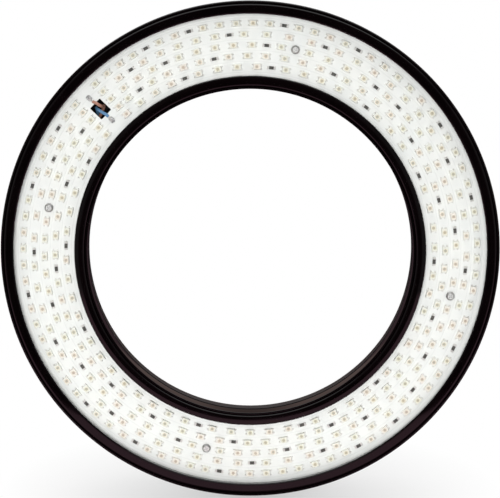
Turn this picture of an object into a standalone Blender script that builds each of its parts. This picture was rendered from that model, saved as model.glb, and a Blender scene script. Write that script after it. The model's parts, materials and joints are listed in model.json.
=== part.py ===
"""LED ring light on a tilting stand foot.

Metres, +Z up, the lit face looks along -Y. The origin is the middle of the foot's underside,
where the stand's screw enters. "Depth" is the distance behind the front face of the ring.
Angles on the ring are degrees anticlockwise, seen from the front, from +X.
"""
from math import asin, cos, degrees, pi, radians, sin

import bmesh
import bpy
from mathutils import Matrix, Vector

# Clearances and cutting
GAP = 0.0003
OVERRUN = 0.001
MERGE_DISTANCE = 0.00001

# Ring housing
OUTER_RADIUS = 0.120
RING_WIDTH = 0.0404
RING_DEPTH = 0.022
SHELL_WALL = 0.0024
SHELL_PLATE = 0.002
SHELL_SEAM_DEPTH = 0.0125
REAR_CHAMFER = 0.001
RIM_SETBACK = 0.00025
INNER_RIM_WIDTH = 0.0009
BORE_DRAFT = 0.0008

# Bezels
BEZEL_INSET = 0.0014
OUTER_LIP = 0.0045
INNER_LIP = 0.0048
BEZEL_THICKNESS = 0.0021
BEZEL_ROUND = 0.001

# LED board
BOARD_SETBACK = 0.0045
BOARD_THICKNESS = 0.0016
LED_LENGTH = 0.0035
LED_WIDTH = 0.0028
LED_HEIGHT = 0.0019
LED_SINK = 0.0002
ROW_SHARES = (0.1513, 0.3242, 0.4970, 0.6689, 0.8417)
LED_TO_RESISTOR_SHARE = 0.0696
LED_TO_SCREW_SHARE = 0.0686
LED_TO_SLOT_SHARE = 0.0706
SLOT_ANGLE = 136.1
SLOT_LENGTH = 0.0076
SLOT_WIDTH = 0.0067

# Each row is read anticlockwise from the wire slot: the number of LEDs in a run, then the angle
# of the resistor (r) or board screw (s) that ends the run.
ROW_LAYOUTS = (
    "2 r150.5 4 r178 4 r205 8 r253.5 5 r286.5 4 r314 7 r357 4 r24.5 4 r51.5 5 r83.5 4 r110.5 4",
    "4 r159.5 4 r185 7 r224 2 r239.5 4 r265 5 r295 8 r340 6 r15.5 3 r35 5 r65 6 r100.5 4 r124 2",
    "1 r144 4 s167.5 5 r195 3 r214.5 6 r249 1 s257.5 4 r280.5 4 r304.5 4 r329 3 s347.5 3 r6 7 "
    "r44.5 1 r53 4 s77.5 1 r85.5 5 r114 4",
    "3 r154.5 4 r180 4 r205 4 r229.5 7 r270.5 3 r290 5 r319.5 6 r355 5 r25 8 r70 4 r95.5 5 r123 2",
    "2 r147 3 r163 6 r191 7 r223 3 r239 5 r262 8 r299 2 r310.5 5 r334.5 9 r14 4 r34 6 r62 4 r81.5 "
    "5 r105.5 2 r117 4",
)

# Screws
SCREW_SHANK_RADIUS = 0.0011
SCREW_HEAD_RADIUS = 0.0028
SCREW_HEAD_HEIGHT = 0.002
BOARD_SCREW_HEAD_RADIUS = 0.00215
BOARD_SCREW_HEAD_HEIGHT = 0.0014
BOARD_SCREW_LENGTH = 0.005
BOARD_BOSS_RADIUS = 0.003
BOARD_BOSS_LENGTH = 0.0036
PILLAR_RADIUS = 0.0035
PILLAR_INSET = 0.014
PILLAR_COUNT = 6
WELL_BOSS_RADIUS = 0.0045
WELL_BOSS_LENGTH = 0.003
WELL_DEPTH = 0.0034
SHELL_SCREW_LENGTH = 0.0084
PILOT_SPARE = 0.0005

# Control cover on the lower back of the ring
COVER_INSET = 0.0065
COVER_WIDTH = 0.0255
COVER_HALF_ANGLE = 42.0
COVER_DEPTH = 0.022
COVER_WALL = 0.002
COVER_ROUND = 0.0015
COVER_POST_RADIUS = 0.0035
COVER_SHOULDER_RADIUS = 0.005
COVER_POST_ANGLES = (-38.0, -15.5, 15.5, 38.0)
COVER_WELL_DEPTH = 0.0091
COVER_BOSS_LENGTH = 0.006
COVER_SCREW_BITE = 0.0055

# Driver board inside the cover
DRIVER_BOARD_STANDOFF = 0.0087
DRIVER_BOARD_THICKNESS = 0.0016
DRIVER_BOARD_MARGIN = 0.0008
DRIVER_BOARD_HALF_ANGLE = 35.0
CHOKE_RADIUS = 0.005
CHOKE_WAIST_RADIUS = 0.0038
CHOKE_HEIGHT = 0.0052
CHOKE_FLANGE = 0.0011
CHOKE_ANGLE = -26.0
CAPACITOR_RADIUS = 0.004
CAPACITOR_HEIGHT = 0.0072
CAPACITOR_GROOVE = 0.0004
CAPACITOR_ANGLE = 28.0
DRIVER_CHIP_SIZE = (0.006, 0.0052, 0.0016)
DRIVER_CHIP_ANGLE = 8.0
CHIP_ROUND = 0.0003

# Dimmer
DIMMER_ANGLE = -27.0
POT_RADIUS = 0.008
BUSHING_RADIUS = 0.0045
BUSHING_LENGTH = 0.007
SHAFT_RADIUS = 0.003
SHAFT_SEAT = 0.001
SHAFT_STICKOUT = 0.011
POT_NUT_RADIUS = 0.0064
POT_NUT_THICKNESS = 0.002
KNOB_RADIUS = 0.0085
KNOB_HEIGHT = 0.0122
KNOB_LIFT = 0.0008
KNOB_RECESS_DEPTH = 0.0026
KNOB_GRIP_DEPTH = 0.0004
KNOB_GRIPS = 18
KNOB_ROUND = 0.0008
POINTER_WIDTH = 0.001
POINTER_LENGTH = 0.0046
POINTER_DEPTH = 0.0005
POINTER_START = 30.0

# Power switch
SWITCH_ANGLE = 22.5
SWITCH_BODY = (0.0088, 0.0138)
SWITCH_FLANGE = (0.0106, 0.0152)
SWITCH_FLANGE_THICKNESS = 0.0014
SWITCH_RECESS = (0.0072, 0.0122)
SWITCH_RECESS_DEPTH = 0.0058
ROCKER_HALF_LENGTH = 0.0049
ROCKER_RISE = 0.0044
ROCKER_DIP = 0.0032
ROCKER_KEEL = 0.0016
ROCKER_THROW = 14.0

# Supply inlet
JACK_ANGLE = 31.0
JACK_RADIUS = 0.0055
JACK_HOLE_RADIUS = 0.0032
JACK_HOLE_DEPTH = 0.009
JACK_PIN_RADIUS = 0.001
JACK_PIN_RECESS = 0.0016
JACK_PROUD = 0.0006

# Tilt bracket and hinge
PIVOT_INSET = 0.0095
BRACKET_REACH = 0.014
BRACKET_PLATE = 0.003
BRACKET_RISE = 0.010
BRACKET_DROP = 0.006
LUG_THICKNESS = 0.004
HINGE_RADIUS = 0.008
BOLT_RADIUS = 0.003
BOLT_HEAD_RADIUS = 0.0058
BOLT_HEAD_HEIGHT = 0.004
BOLT_GRIP = 0.0095
WASHER_RADIUS = 0.0062
WASHER_THICKNESS = 0.001
BRACKET_SCREW_SPREAD = 0.0038
BRACKET_SCREW_RAISE = 0.0045
BRACKET_SCREW_BITE = 0.0024
CLAMP_RADIUS = 0.0095
CLAMP_LENGTH = 0.014
CLAMP_LOBE_DEPTH = 0.0008
CLAMP_LOBES = 6
CLAMP_ROUND = 0.001
CLAMP_INSERT_RADIUS = 0.005
CLAMP_INSERT_LENGTH = 0.0098

# Stand foot
TONGUE_WIDTH = 0.012
PIVOT_HEIGHT = 0.025
FOOT_RADIUS = 0.011
FOOT_HEIGHT = 0.0085
FOOT_ROUND = 0.001
NECK_HALF_DEPTH = 0.006
PAD_THICKNESS = 0.0012
INSERT_RADIUS = 0.0045
THREAD_RADIUS = 0.003175
INSERT_LENGTH = 0.010

# Wires from the LED board to the driver board
LEAD_RADIUS = 0.0007
LEAD_PAD_OFFSET = 0.0034
LEAD_SPACING = 0.0024
LEAD_ROUTE_MARGIN = 0.00236
LEAD_ROUTE_DEPTH = 0.0032
LEAD_ROUTE_STEP = 8.0
LEAD_HOLE_RADIUS = 0.004
LEAD_HOLE_MARGIN = 0.0038
LEAD_HOLE_ANGLE = 262.0
LEAD_LOOP_RISE = 0.0007
LEAD_SLOT_ROOM = 0.0016

# Facets
RING_STEPS = 60
ROUND_STEPS = 20
SMALL_STEPS = 12

# Places worked out from the sizes above
BOTTOM = 270.0
BORE_RADIUS = OUTER_RADIUS - RING_WIDTH
FRONT_Y = -(RING_DEPTH + COVER_DEPTH + BRACKET_REACH)
COVER_OUTER = OUTER_RADIUS - COVER_INSET
COVER_INNER = COVER_OUTER - COVER_WIDTH
COVER_MIDDLE = (COVER_OUTER + COVER_INNER) / 2
CENTRE_Z = PIVOT_HEIGHT + COVER_OUTER - PIVOT_INSET
BEZEL_OUTSIDE = OUTER_RADIUS - BEZEL_INSET
INNER_RIM_OUTSIDE = BORE_RADIUS - GAP
RIM_BORE_RADIUS = INNER_RIM_OUTSIDE - INNER_RIM_WIDTH
SEAM_BORE_RADIUS = RIM_BORE_RADIUS + BORE_DRAFT * SHELL_SEAM_DEPTH / RING_DEPTH
REAR_BORE_RADIUS = RIM_BORE_RADIUS + BORE_DRAFT
WINDOW_OUTER = BEZEL_OUTSIDE - OUTER_LIP
WINDOW_INNER = BORE_RADIUS + INNER_LIP
WALL_INSIDE_OUTER = OUTER_RADIUS - SHELL_WALL
WALL_INSIDE_INNER = BORE_RADIUS + SHELL_WALL
SKIRT_END = BOARD_SETBACK - GAP
DECK_FRONT = BOARD_SETBACK + BOARD_THICKNESS + GAP
DECK_REAR = DECK_FRONT + SHELL_PLATE
REAR_PLATE_FRONT = RING_DEPTH - SHELL_PLATE
PILLAR_CIRCLE = OUTER_RADIUS - PILLAR_INSET
PILLAR_ANGLES = tuple((index + 0.5) * 360.0 / PILLAR_COUNT for index in range(PILLAR_COUNT))
WELL_FLOOR = RING_DEPTH - WELL_DEPTH
WELL_BOSS_END = REAR_PLATE_FRONT - WELL_BOSS_LENGTH
WELL_RADIUS = SCREW_HEAD_RADIUS + GAP
HOLE_RADIUS = SCREW_SHANK_RADIUS + GAP
COVER_FRONT = RING_DEPTH + GAP
COVER_REAR = RING_DEPTH + COVER_DEPTH
COVER_CEILING = COVER_REAR - COVER_WALL
COVER_WELL_FLOOR = COVER_REAR - COVER_WELL_DEPTH
DRIVER_FRONT = COVER_FRONT + DRIVER_BOARD_STANDOFF
DRIVER_REAR = DRIVER_FRONT + DRIVER_BOARD_THICKNESS
LUG_INSIDE = TONGUE_WIDTH / 2 + GAP
LUG_OUTSIDE = LUG_INSIDE + LUG_THICKNESS
SLOT_MIDDLE = WINDOW_INNER + ROW_SHARES[2] * (WINDOW_OUTER - WINDOW_INNER)


def ring_point(radius, angle, depth):
    """World position of a point given by its radius, angle and depth on the ring."""
    turn = radians(angle)
    return Vector((radius * cos(turn), FRONT_Y + depth, CENTRE_Z + radius * sin(turn)))


def cover_point(angle, depth, radius=COVER_MIDDLE):
    """World position on the control cover, its angle counted from the bottom towards +X."""
    return ring_point(radius, BOTTOM + angle, depth)


def clear_scene():
    for obj in list(bpy.data.objects):
        bpy.data.objects.remove(obj, do_unlink=True)


def make_collection(name):
    collection = bpy.data.collections.new(name)
    bpy.context.scene.collection.children.link(collection)
    return collection


def make_material(name, color, roughness, metallic=0.0):
    material = bpy.data.materials.new(name)
    material.use_nodes = True
    shader = material.node_tree.nodes["Principled BSDF"]
    shader.inputs["Base Color"].default_value = (*color, 1.0)
    shader.inputs["Roughness"].default_value = roughness
    shader.inputs["Metallic"].default_value = metallic
    material.diffuse_color = (*color, 1.0)
    return material


clear_scene()
PARTS = make_collection("led_ring_light")
CUTTERS = make_collection("cutters")

GLOSS_BLACK = ((0.012, 0.009, 0.011), 0.12)
SATIN_BLACK = ((0.02, 0.018, 0.02), 0.4)
RUBBER_BLACK = ((0.03, 0.03, 0.03), 0.85)
BOARD_WHITE = ((0.86, 0.87, 0.84), 0.45)
BOARD_GREEN = ((0.03, 0.17, 0.09), 0.4)
STEEL = ((0.6, 0.6, 0.62), 0.3, 1.0)
BRASS = ((0.72, 0.55, 0.25), 0.3, 1.0)
ALUMINIUM_BLACK = ((0.05, 0.05, 0.055), 0.35, 0.6)
RED_PVC = ((0.6, 0.09, 0.03), 0.4)
BLUE_PVC = ((0.05, 0.2, 0.45), 0.4)
FERRITE = ((0.06, 0.05, 0.05), 0.5)
CAPACITOR_SLEEVE = ((0.1, 0.1, 0.2), 0.35)
CHIP_BLACK = ((0.03, 0.03, 0.03), 0.5)


def along_depth(place):
    """Placement whose local Z runs from the front of the ring to the back."""
    return Matrix.Translation(place) @ Matrix.Rotation(-pi / 2, 4, "X")


def along_x(place):
    """Placement whose local Z is world X, local X is world -Y and local Y is world -Z."""
    turn = Matrix(((0, 0, 1), (-1, 0, 0), (0, -1, 0))).to_4x4()
    return Matrix.Translation(place) @ turn


def upright(place):
    return Matrix.Translation(place)


def add_object(name, mesh, finish=None, place=None):
    """Link a part with its own material, or a cutter where no finish is given."""
    obj = bpy.data.objects.new(name, mesh)
    if finish is None:
        CUTTERS.objects.link(obj)
        obj.hide_render = True
        obj.display_type = "WIRE"
    else:
        PARTS.objects.link(obj)
        mesh.materials.append(make_material(name, *finish))
    if place is not None:
        obj.matrix_world = place
    return obj


def turned(name, profile, place, finish=None, closed=False, steps=ROUND_STEPS):
    """Turn a (radius, height) profile round local Z; it runs down its outer side."""
    edges = [(index, index + 1) for index in range(len(profile) - 1)]
    if closed:
        edges.append((len(profile) - 1, 0))
    mesh = bpy.data.meshes.new(name)
    mesh.from_pydata([(radius, 0, height) for radius, height in profile], edges, [])
    obj = add_object(name, mesh, finish, place)
    screw = obj.modifiers.new("turn", "SCREW")
    screw.steps = steps
    screw.render_steps = steps
    screw.use_merge_vertices = True
    screw.merge_threshold = MERGE_DISTANCE
    screw.use_smooth_shade = False
    return obj


def prism_bmesh(outline, low, high):
    """A flat outline in local X and Y, pushed from one height to the other."""
    shape = bmesh.new()
    face = shape.faces.new([shape.verts.new((x, y, low)) for x, y in outline])
    pushed = bmesh.ops.extrude_face_region(shape, geom=[face], use_keep_orig=True)
    moved = [item for item in pushed["geom"] if isinstance(item, bmesh.types.BMVert)]
    bmesh.ops.translate(shape, verts=moved, vec=(0, 0, high - low))
    bmesh.ops.recalc_face_normals(shape, faces=shape.faces)
    return shape


def round_edges(shape, is_wanted, width, segments=2):
    edges = [edge for edge in shape.edges if is_wanted(edge)]
    bmesh.ops.bevel(shape, geom=edges, offset=width, offset_type="OFFSET", affect="EDGES",
                    segments=segments, profile=0.5, material=-1, clamp_overlap=True)


def finish_bmesh(name, shape, place, finish=None):
    mesh = bpy.data.meshes.new(name)
    shape.to_mesh(mesh)
    shape.free()
    return add_object(name, mesh, finish, place)


def prism(name, outline, low, high, place, finish=None):
    return finish_bmesh(name, prism_bmesh(outline, low, high), place, finish)


def rectangle(width, height, middle=(0, 0)):
    x, y = middle
    half_x = width / 2
    half_y = height / 2
    return [(x - half_x, y - half_y), (x + half_x, y - half_y),
            (x + half_x, y + half_y), (x - half_x, y + half_y)]


def arc(radius, start, end, steps, middle=(0, 0)):
    """Points on an arc, angles in degrees, both ends included."""
    x, y = middle
    turns = [radians(start + (end - start) * step / steps) for step in range(steps + 1)]
    return [(x + radius * cos(turn), y + radius * sin(turn)) for turn in turns]


def polygon(radius, corners, start=0.0):
    return arc(radius, start, start + 360.0, corners)[:-1]


def pegs(name, places, radius, low, high, steps=SMALL_STEPS):
    """A cutter of like round pegs along the depth, each given by its (x, z) place."""
    shape = bmesh.new()
    for place in places:
        centre = Vector((place.x, FRONT_Y + (low + high) / 2, place.z))
        bmesh.ops.create_cone(shape, cap_ends=True, segments=steps, radius1=radius,
                              radius2=radius, depth=high - low, matrix=along_depth(centre))
    return finish_bmesh(name, shape, None)


def combine(target, cutter, operation):
    modifier = target.modifiers.new(cutter.name, "BOOLEAN")
    modifier.operation = operation
    modifier.solver = "EXACT"
    modifier.object = cutter


def cut(target, *cutters):
    for cutter in cutters:
        combine(target, cutter, "DIFFERENCE")


def join(target, *additions):
    for addition in additions:
        combine(target, addition, "UNION")


def is_rim(height, tolerance=GAP / 10):
    """Edges that lie in the plane at one height."""
    return lambda edge: all(abs(vert.co.z - height) < tolerance for vert in edge.verts)


def is_sharp_corner(edge):
    """Edges along local Z where two sides meet at a clear angle."""
    along = edge.verts[1].co - edge.verts[0].co
    return abs(along.z) > along.xy.length and edge.calc_face_angle() > radians(45)


def ring_axis():
    return along_depth(Vector((0, FRONT_Y, CENTRE_Z)))


def make_bezels():
    outside = BEZEL_OUTSIDE
    skirt = WALL_INSIDE_OUTER - GAP
    outer = [
        (skirt, SKIRT_END),
        (skirt, BEZEL_THICKNESS),
        (outside, BEZEL_THICKNESS),
        (outside, BEZEL_ROUND),
        (outside - BEZEL_ROUND * (1 - cos(pi / 4)), BEZEL_ROUND * (1 - sin(pi / 4))),
        (outside - BEZEL_ROUND, 0),
        (WINDOW_OUTER, 0),
        (WINDOW_OUTER, SKIRT_END),
    ]
    turned("outer_bezel", outer, ring_axis(), GLOSS_BLACK, closed=True, steps=RING_STEPS)
    skirt = WALL_INSIDE_INNER + GAP
    inner = [
        (WINDOW_INNER, SKIRT_END),
        (WINDOW_INNER, 0),
        (BORE_RADIUS + BEZEL_ROUND, 0),
        (BORE_RADIUS + BEZEL_ROUND * (1 - cos(pi / 4)), BEZEL_ROUND * (1 - sin(pi / 4))),
        (BORE_RADIUS, BEZEL_ROUND),
        (BORE_RADIUS, BEZEL_THICKNESS),
        (skirt, BEZEL_THICKNESS),
        (skirt, SKIRT_END),
    ]
    turned("inner_bezel", inner, ring_axis(), GLOSS_BLACK, closed=True, steps=RING_STEPS)


def board_screw_places():
    """Places of the board screws, which stand in the middle row."""
    words = ROW_LAYOUTS[2].split()
    angles = [float(word[1:]) for word in words if word.startswith("s")]
    return [ring_point(SLOT_MIDDLE, angle, 0) for angle in angles]


def make_front_shell():
    top = BEZEL_THICKNESS + GAP
    end = SHELL_SEAM_DEPTH - GAP / 2
    rim_inside = BEZEL_OUTSIDE + GAP
    profile = [
        (OUTER_RADIUS, end),
        (OUTER_RADIUS, RIM_SETBACK),
        (rim_inside, RIM_SETBACK),
        (rim_inside, top),
        (WALL_INSIDE_OUTER, top),
        (WALL_INSIDE_OUTER, DECK_FRONT),
        (WALL_INSIDE_INNER, DECK_FRONT),
        (WALL_INSIDE_INNER, top),
        (INNER_RIM_OUTSIDE, top),
        (INNER_RIM_OUTSIDE, RIM_SETBACK),
        (RIM_BORE_RADIUS, RIM_SETBACK),
        (SEAM_BORE_RADIUS, end),
        (WALL_INSIDE_INNER, end),
        (WALL_INSIDE_INNER, DECK_REAR),
        (WALL_INSIDE_OUTER, DECK_REAR),
        (WALL_INSIDE_OUTER, end),
    ]
    shell = turned("front_shell", profile, ring_axis(), GLOSS_BLACK, closed=True,
                   steps=RING_STEPS)
    root = DECK_REAR - SHELL_PLATE / 2
    pillar_places = [ring_point(PILLAR_CIRCLE, angle, 0) for angle in PILLAR_ANGLES]
    pillar_end = WELL_BOSS_END - GAP
    screw_places = board_screw_places()
    boss_end = DECK_REAR + BOARD_BOSS_LENGTH
    screw_tip = BOARD_SETBACK - GAP + BOARD_SCREW_LENGTH
    shell_screw_tip = WELL_FLOOR + GAP - SHELL_SCREW_LENGTH
    join(shell,
         pegs("shell_pillars", pillar_places, PILLAR_RADIUS, root, pillar_end),
         pegs("board_bosses", screw_places, BOARD_BOSS_RADIUS, root, boss_end))
    cut(shell,
        pegs("pillar_pilots", pillar_places, HOLE_RADIUS, shell_screw_tip - PILOT_SPARE,
             pillar_end + OVERRUN),
        pegs("board_pilots", screw_places, HOLE_RADIUS, DECK_FRONT - OVERRUN,
             screw_tip + PILOT_SPARE),
        slot_cutter("deck_slot", DECK_FRONT - OVERRUN, DECK_REAR + OVERRUN))


def slot_cutter(name, low, high):
    """The wire slot, turned to lie square to the ring's radius."""
    place = ring_axis() @ Matrix.Rotation(radians(-SLOT_ANGLE), 4, "Z")
    return prism(name, rectangle(SLOT_LENGTH, SLOT_WIDTH, (SLOT_MIDDLE, 0)), low, high, place)


def make_rear_shell():
    start = SHELL_SEAM_DEPTH + GAP / 2
    profile = [
        (OUTER_RADIUS, RING_DEPTH - REAR_CHAMFER),
        (OUTER_RADIUS, start),
        (WALL_INSIDE_OUTER, start),
        (WALL_INSIDE_OUTER, REAR_PLATE_FRONT),
        (WALL_INSIDE_INNER, REAR_PLATE_FRONT),
        (WALL_INSIDE_INNER, start),
        (SEAM_BORE_RADIUS, start),
        (REAR_BORE_RADIUS, RING_DEPTH - REAR_CHAMFER),
        (REAR_BORE_RADIUS + REAR_CHAMFER, RING_DEPTH),
        (OUTER_RADIUS - REAR_CHAMFER, RING_DEPTH),
    ]
    shell = turned("rear_shell", profile, ring_axis(), SATIN_BLACK, closed=True,
                   steps=RING_STEPS)
    root = RING_DEPTH - SHELL_PLATE / 2
    wells = [ring_point(PILLAR_CIRCLE, angle, 0) for angle in PILLAR_ANGLES]
    posts = [cover_point(angle, 0) for angle in COVER_POST_ANGLES]
    boss_end = REAR_PLATE_FRONT - COVER_BOSS_LENGTH
    screw_tip = RING_DEPTH - COVER_SCREW_BITE
    lead_hole = [ring_point(lead_hole_radius(), LEAD_HOLE_ANGLE, 0)]
    join(shell,
         pegs("well_bosses", wells, WELL_BOSS_RADIUS, WELL_BOSS_END, root),
         pegs("cover_bosses", posts, COVER_POST_RADIUS, boss_end, root))
    cut(shell,
        pegs("wells", wells, WELL_RADIUS, WELL_FLOOR, RING_DEPTH + OVERRUN),
        pegs("well_holes", wells, HOLE_RADIUS, WELL_BOSS_END - OVERRUN, WELL_FLOOR + OVERRUN),
        pegs("cover_pilots", posts, HOLE_RADIUS, screw_tip - PILOT_SPARE,
             RING_DEPTH + OVERRUN),
        pegs("lead_hole", lead_hole, LEAD_HOLE_RADIUS, REAR_PLATE_FRONT - OVERRUN,
             RING_DEPTH + OVERRUN))


def lay_row(radius, layout, clearances):
    """Angles of the LEDs of one row.

    A run of LEDs is spread evenly between the clearances of the marks at its two ends.
    """
    marks = [("w", SLOT_ANGLE)]
    runs = []
    for word in layout.split():
        if word[0] in "rs":
            angle = float(word[1:])
            marks.append((word[0], angle if angle > SLOT_ANGLE else angle + 360.0))
        else:
            runs.append(int(word))
    marks.append(("w", SLOT_ANGLE + 360.0))
    leds = []
    for count, (kind, angle), (next_kind, next_angle) in zip(runs, marks, marks[1:]):
        start = angle + degrees(clearances[kind] / radius)
        end = next_angle - degrees(clearances[next_kind] / radius)
        if count == 1:
            leds.append((start + end) / 2)
        else:
            leds += [start + (end - start) * step / (count - 1) for step in range(count)]
    return leds


def board_rows():
    """Radius and LED angles of each row, from the inside out."""
    shares = {"r": LED_TO_RESISTOR_SHARE, "s": LED_TO_SCREW_SHARE, "w": LED_TO_SLOT_SHARE}
    clearances = {kind: share * SLOT_MIDDLE for kind, share in shares.items()}
    for share, layout in zip(ROW_SHARES, ROW_LAYOUTS):
        radius = WINDOW_INNER + share * (WINDOW_OUTER - WINDOW_INNER)
        yield radius, lay_row(radius, layout, clearances)


def add_led(shape, radius, angle):
    """An LED package standing on the board's face, its length along the row."""
    tall = LED_HEIGHT + LED_SINK
    middle = ring_point(radius, angle, BOARD_SETBACK + LED_SINK - tall / 2)
    turn = Matrix.Rotation(radians(-angle), 4, "Y")
    stretch = Matrix.Diagonal((LED_WIDTH, tall, LED_LENGTH, 1))
    bmesh.ops.create_cube(shape, size=1.0, matrix=Matrix.Translation(middle) @ turn @ stretch)


def make_led_board():
    back = BOARD_SETBACK + BOARD_THICKNESS
    board = prism("led_board", polygon(WALL_INSIDE_OUTER - GAP, RING_STEPS), BOARD_SETBACK,
                  back, ring_axis(), BOARD_WHITE)
    packages = bmesh.new()
    for radius, angles in board_rows():
        for angle in angles:
            add_led(packages, radius, angle)
    rear = back + OVERRUN
    front = BOARD_SETBACK - OVERRUN
    cut(board,
        prism("board_bore", polygon(WALL_INSIDE_INNER + GAP, RING_STEPS), front, rear,
              ring_axis()),
        pegs("board_holes", board_screw_places(), HOLE_RADIUS, front, rear),
        slot_cutter("board_slot", front, rear))
    join(board, finish_bmesh("led_packages", packages, None))


def screw(name, place, head_radius, head_height, length, finish=STEEL):
    """A pan-head screw; its head stands on local Z = 0 and its shank points down."""
    profile = [
        (0, head_height),
        (head_radius, head_height),
        (head_radius, 0),
        (SCREW_SHANK_RADIUS, 0),
        (SCREW_SHANK_RADIUS, -length),
        (0, -length),
    ]
    return turned(name, profile, place, finish, steps=SMALL_STEPS)


def make_screws():
    for index, place in enumerate(board_screw_places(), 1):
        seat = Vector((place.x, FRONT_Y + BOARD_SETBACK - GAP, place.z))
        facing_front = Matrix.Translation(seat) @ Matrix.Rotation(pi / 2, 4, "X")
        screw(f"board_screw_{index}", facing_front, BOARD_SCREW_HEAD_RADIUS,
              BOARD_SCREW_HEAD_HEIGHT, BOARD_SCREW_LENGTH)
    for index, angle in enumerate(PILLAR_ANGLES, 1):
        seat = ring_point(PILLAR_CIRCLE, angle, WELL_FLOOR + GAP)
        screw(f"shell_screw_{index}", along_depth(seat), SCREW_HEAD_RADIUS, SCREW_HEAD_HEIGHT,
              SHELL_SCREW_LENGTH)
    cover_seat = COVER_WELL_FLOOR + GAP
    for index, angle in enumerate(COVER_POST_ANGLES, 1):
        screw(f"cover_screw_{index}", along_depth(cover_point(angle, cover_seat)),
              SCREW_HEAD_RADIUS, SCREW_HEAD_HEIGHT, cover_seat - RING_DEPTH + COVER_SCREW_BITE)
    bracket_seat = COVER_CEILING - GAP
    for index, place in enumerate(bracket_screw_places(), 1):
        seat = Vector((place.x, FRONT_Y + bracket_seat, place.z))
        facing_front = Matrix.Translation(seat) @ Matrix.Rotation(pi / 2, 4, "X")
        screw(f"bracket_screw_{index}", facing_front, SCREW_HEAD_RADIUS, SCREW_HEAD_HEIGHT,
              COVER_WALL + 2 * GAP + BRACKET_SCREW_BITE)


def sector(inner, outer, half_angle):
    """Outline, in radius-angle terms, of a piece of the ring round its lowest point."""
    steps = max(4, round(2 * half_angle * RING_STEPS / 360.0))
    return (arc(outer, BOTTOM - half_angle, BOTTOM + half_angle, steps)
            + arc(inner, BOTTOM + half_angle, BOTTOM - half_angle, steps))


def sector_prism(name, inner, outer, half_angle, low, high, finish=None, rounding=0):
    """A sector of the ring between two depths; its rear rim and its ends can be rounded."""
    outline = [(x, -y) for x, y in sector(inner, outer, half_angle)]
    shape = prism_bmesh(outline, low, high)
    if rounding:
        round_edges(shape, is_sharp_corner, 2 * rounding)
        round_edges(shape, is_rim(high), rounding)
    return finish_bmesh(name, shape, ring_axis(), finish)


def rect_cutter(name, angle, size, low, high):
    """A rectangular hole through the cover, upright at its place."""
    width, height = size
    place = along_depth(cover_point(angle, 0))
    return prism(name, rectangle(width, height), low, high, place)


def round_cutter(name, angle, radius, low, high, steps=ROUND_STEPS):
    return pegs(name, [cover_point(angle, 0)], radius, low, high, steps)


def bracket_screw_places():
    height = PIVOT_HEIGHT + BRACKET_SCREW_RAISE
    return [Vector((side * BRACKET_SCREW_SPREAD, 0, height)) for side in (-1, 1)]


def make_control_cover():
    cover = sector_prism("control_cover", COVER_INNER, COVER_OUTER, COVER_HALF_ANGLE,
                         COVER_FRONT, COVER_REAR, SATIN_BLACK, rounding=COVER_ROUND)
    end_wall = degrees(COVER_WALL / COVER_INNER)
    cavity = sector_prism("cover_cavity", COVER_INNER + COVER_WALL, COVER_OUTER - COVER_WALL,
                          COVER_HALF_ANGLE - end_wall, COVER_FRONT - OVERRUN, COVER_CEILING)
    posts = [cover_point(angle, 0) for angle in COVER_POST_ANGLES]
    root = COVER_REAR - COVER_WALL / 2
    post_end = COVER_FRONT
    shoulder_end = DRIVER_REAR + GAP
    cut(cover, cavity)
    join(cover,
         pegs("cover_posts", posts, COVER_POST_RADIUS, post_end, root),
         pegs("cover_shoulders", posts, COVER_SHOULDER_RADIUS, shoulder_end, root))
    past = COVER_REAR + OVERRUN
    inside = COVER_CEILING - OVERRUN
    switch_hole = tuple(side + 2 * GAP for side in SWITCH_BODY)
    cut(cover,
        pegs("cover_wells", posts, WELL_RADIUS, COVER_WELL_FLOOR, past),
        pegs("cover_well_holes", posts, HOLE_RADIUS, post_end - OVERRUN,
             COVER_WELL_FLOOR + OVERRUN),
        pegs("bracket_holes", bracket_screw_places(), HOLE_RADIUS, inside, past),
        round_cutter("bushing_hole", DIMMER_ANGLE, BUSHING_RADIUS + GAP, inside, past),
        round_cutter("jack_hole", JACK_ANGLE, JACK_RADIUS + GAP, inside, past),
        rect_cutter("switch_hole", SWITCH_ANGLE, switch_hole, inside, past))


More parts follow.
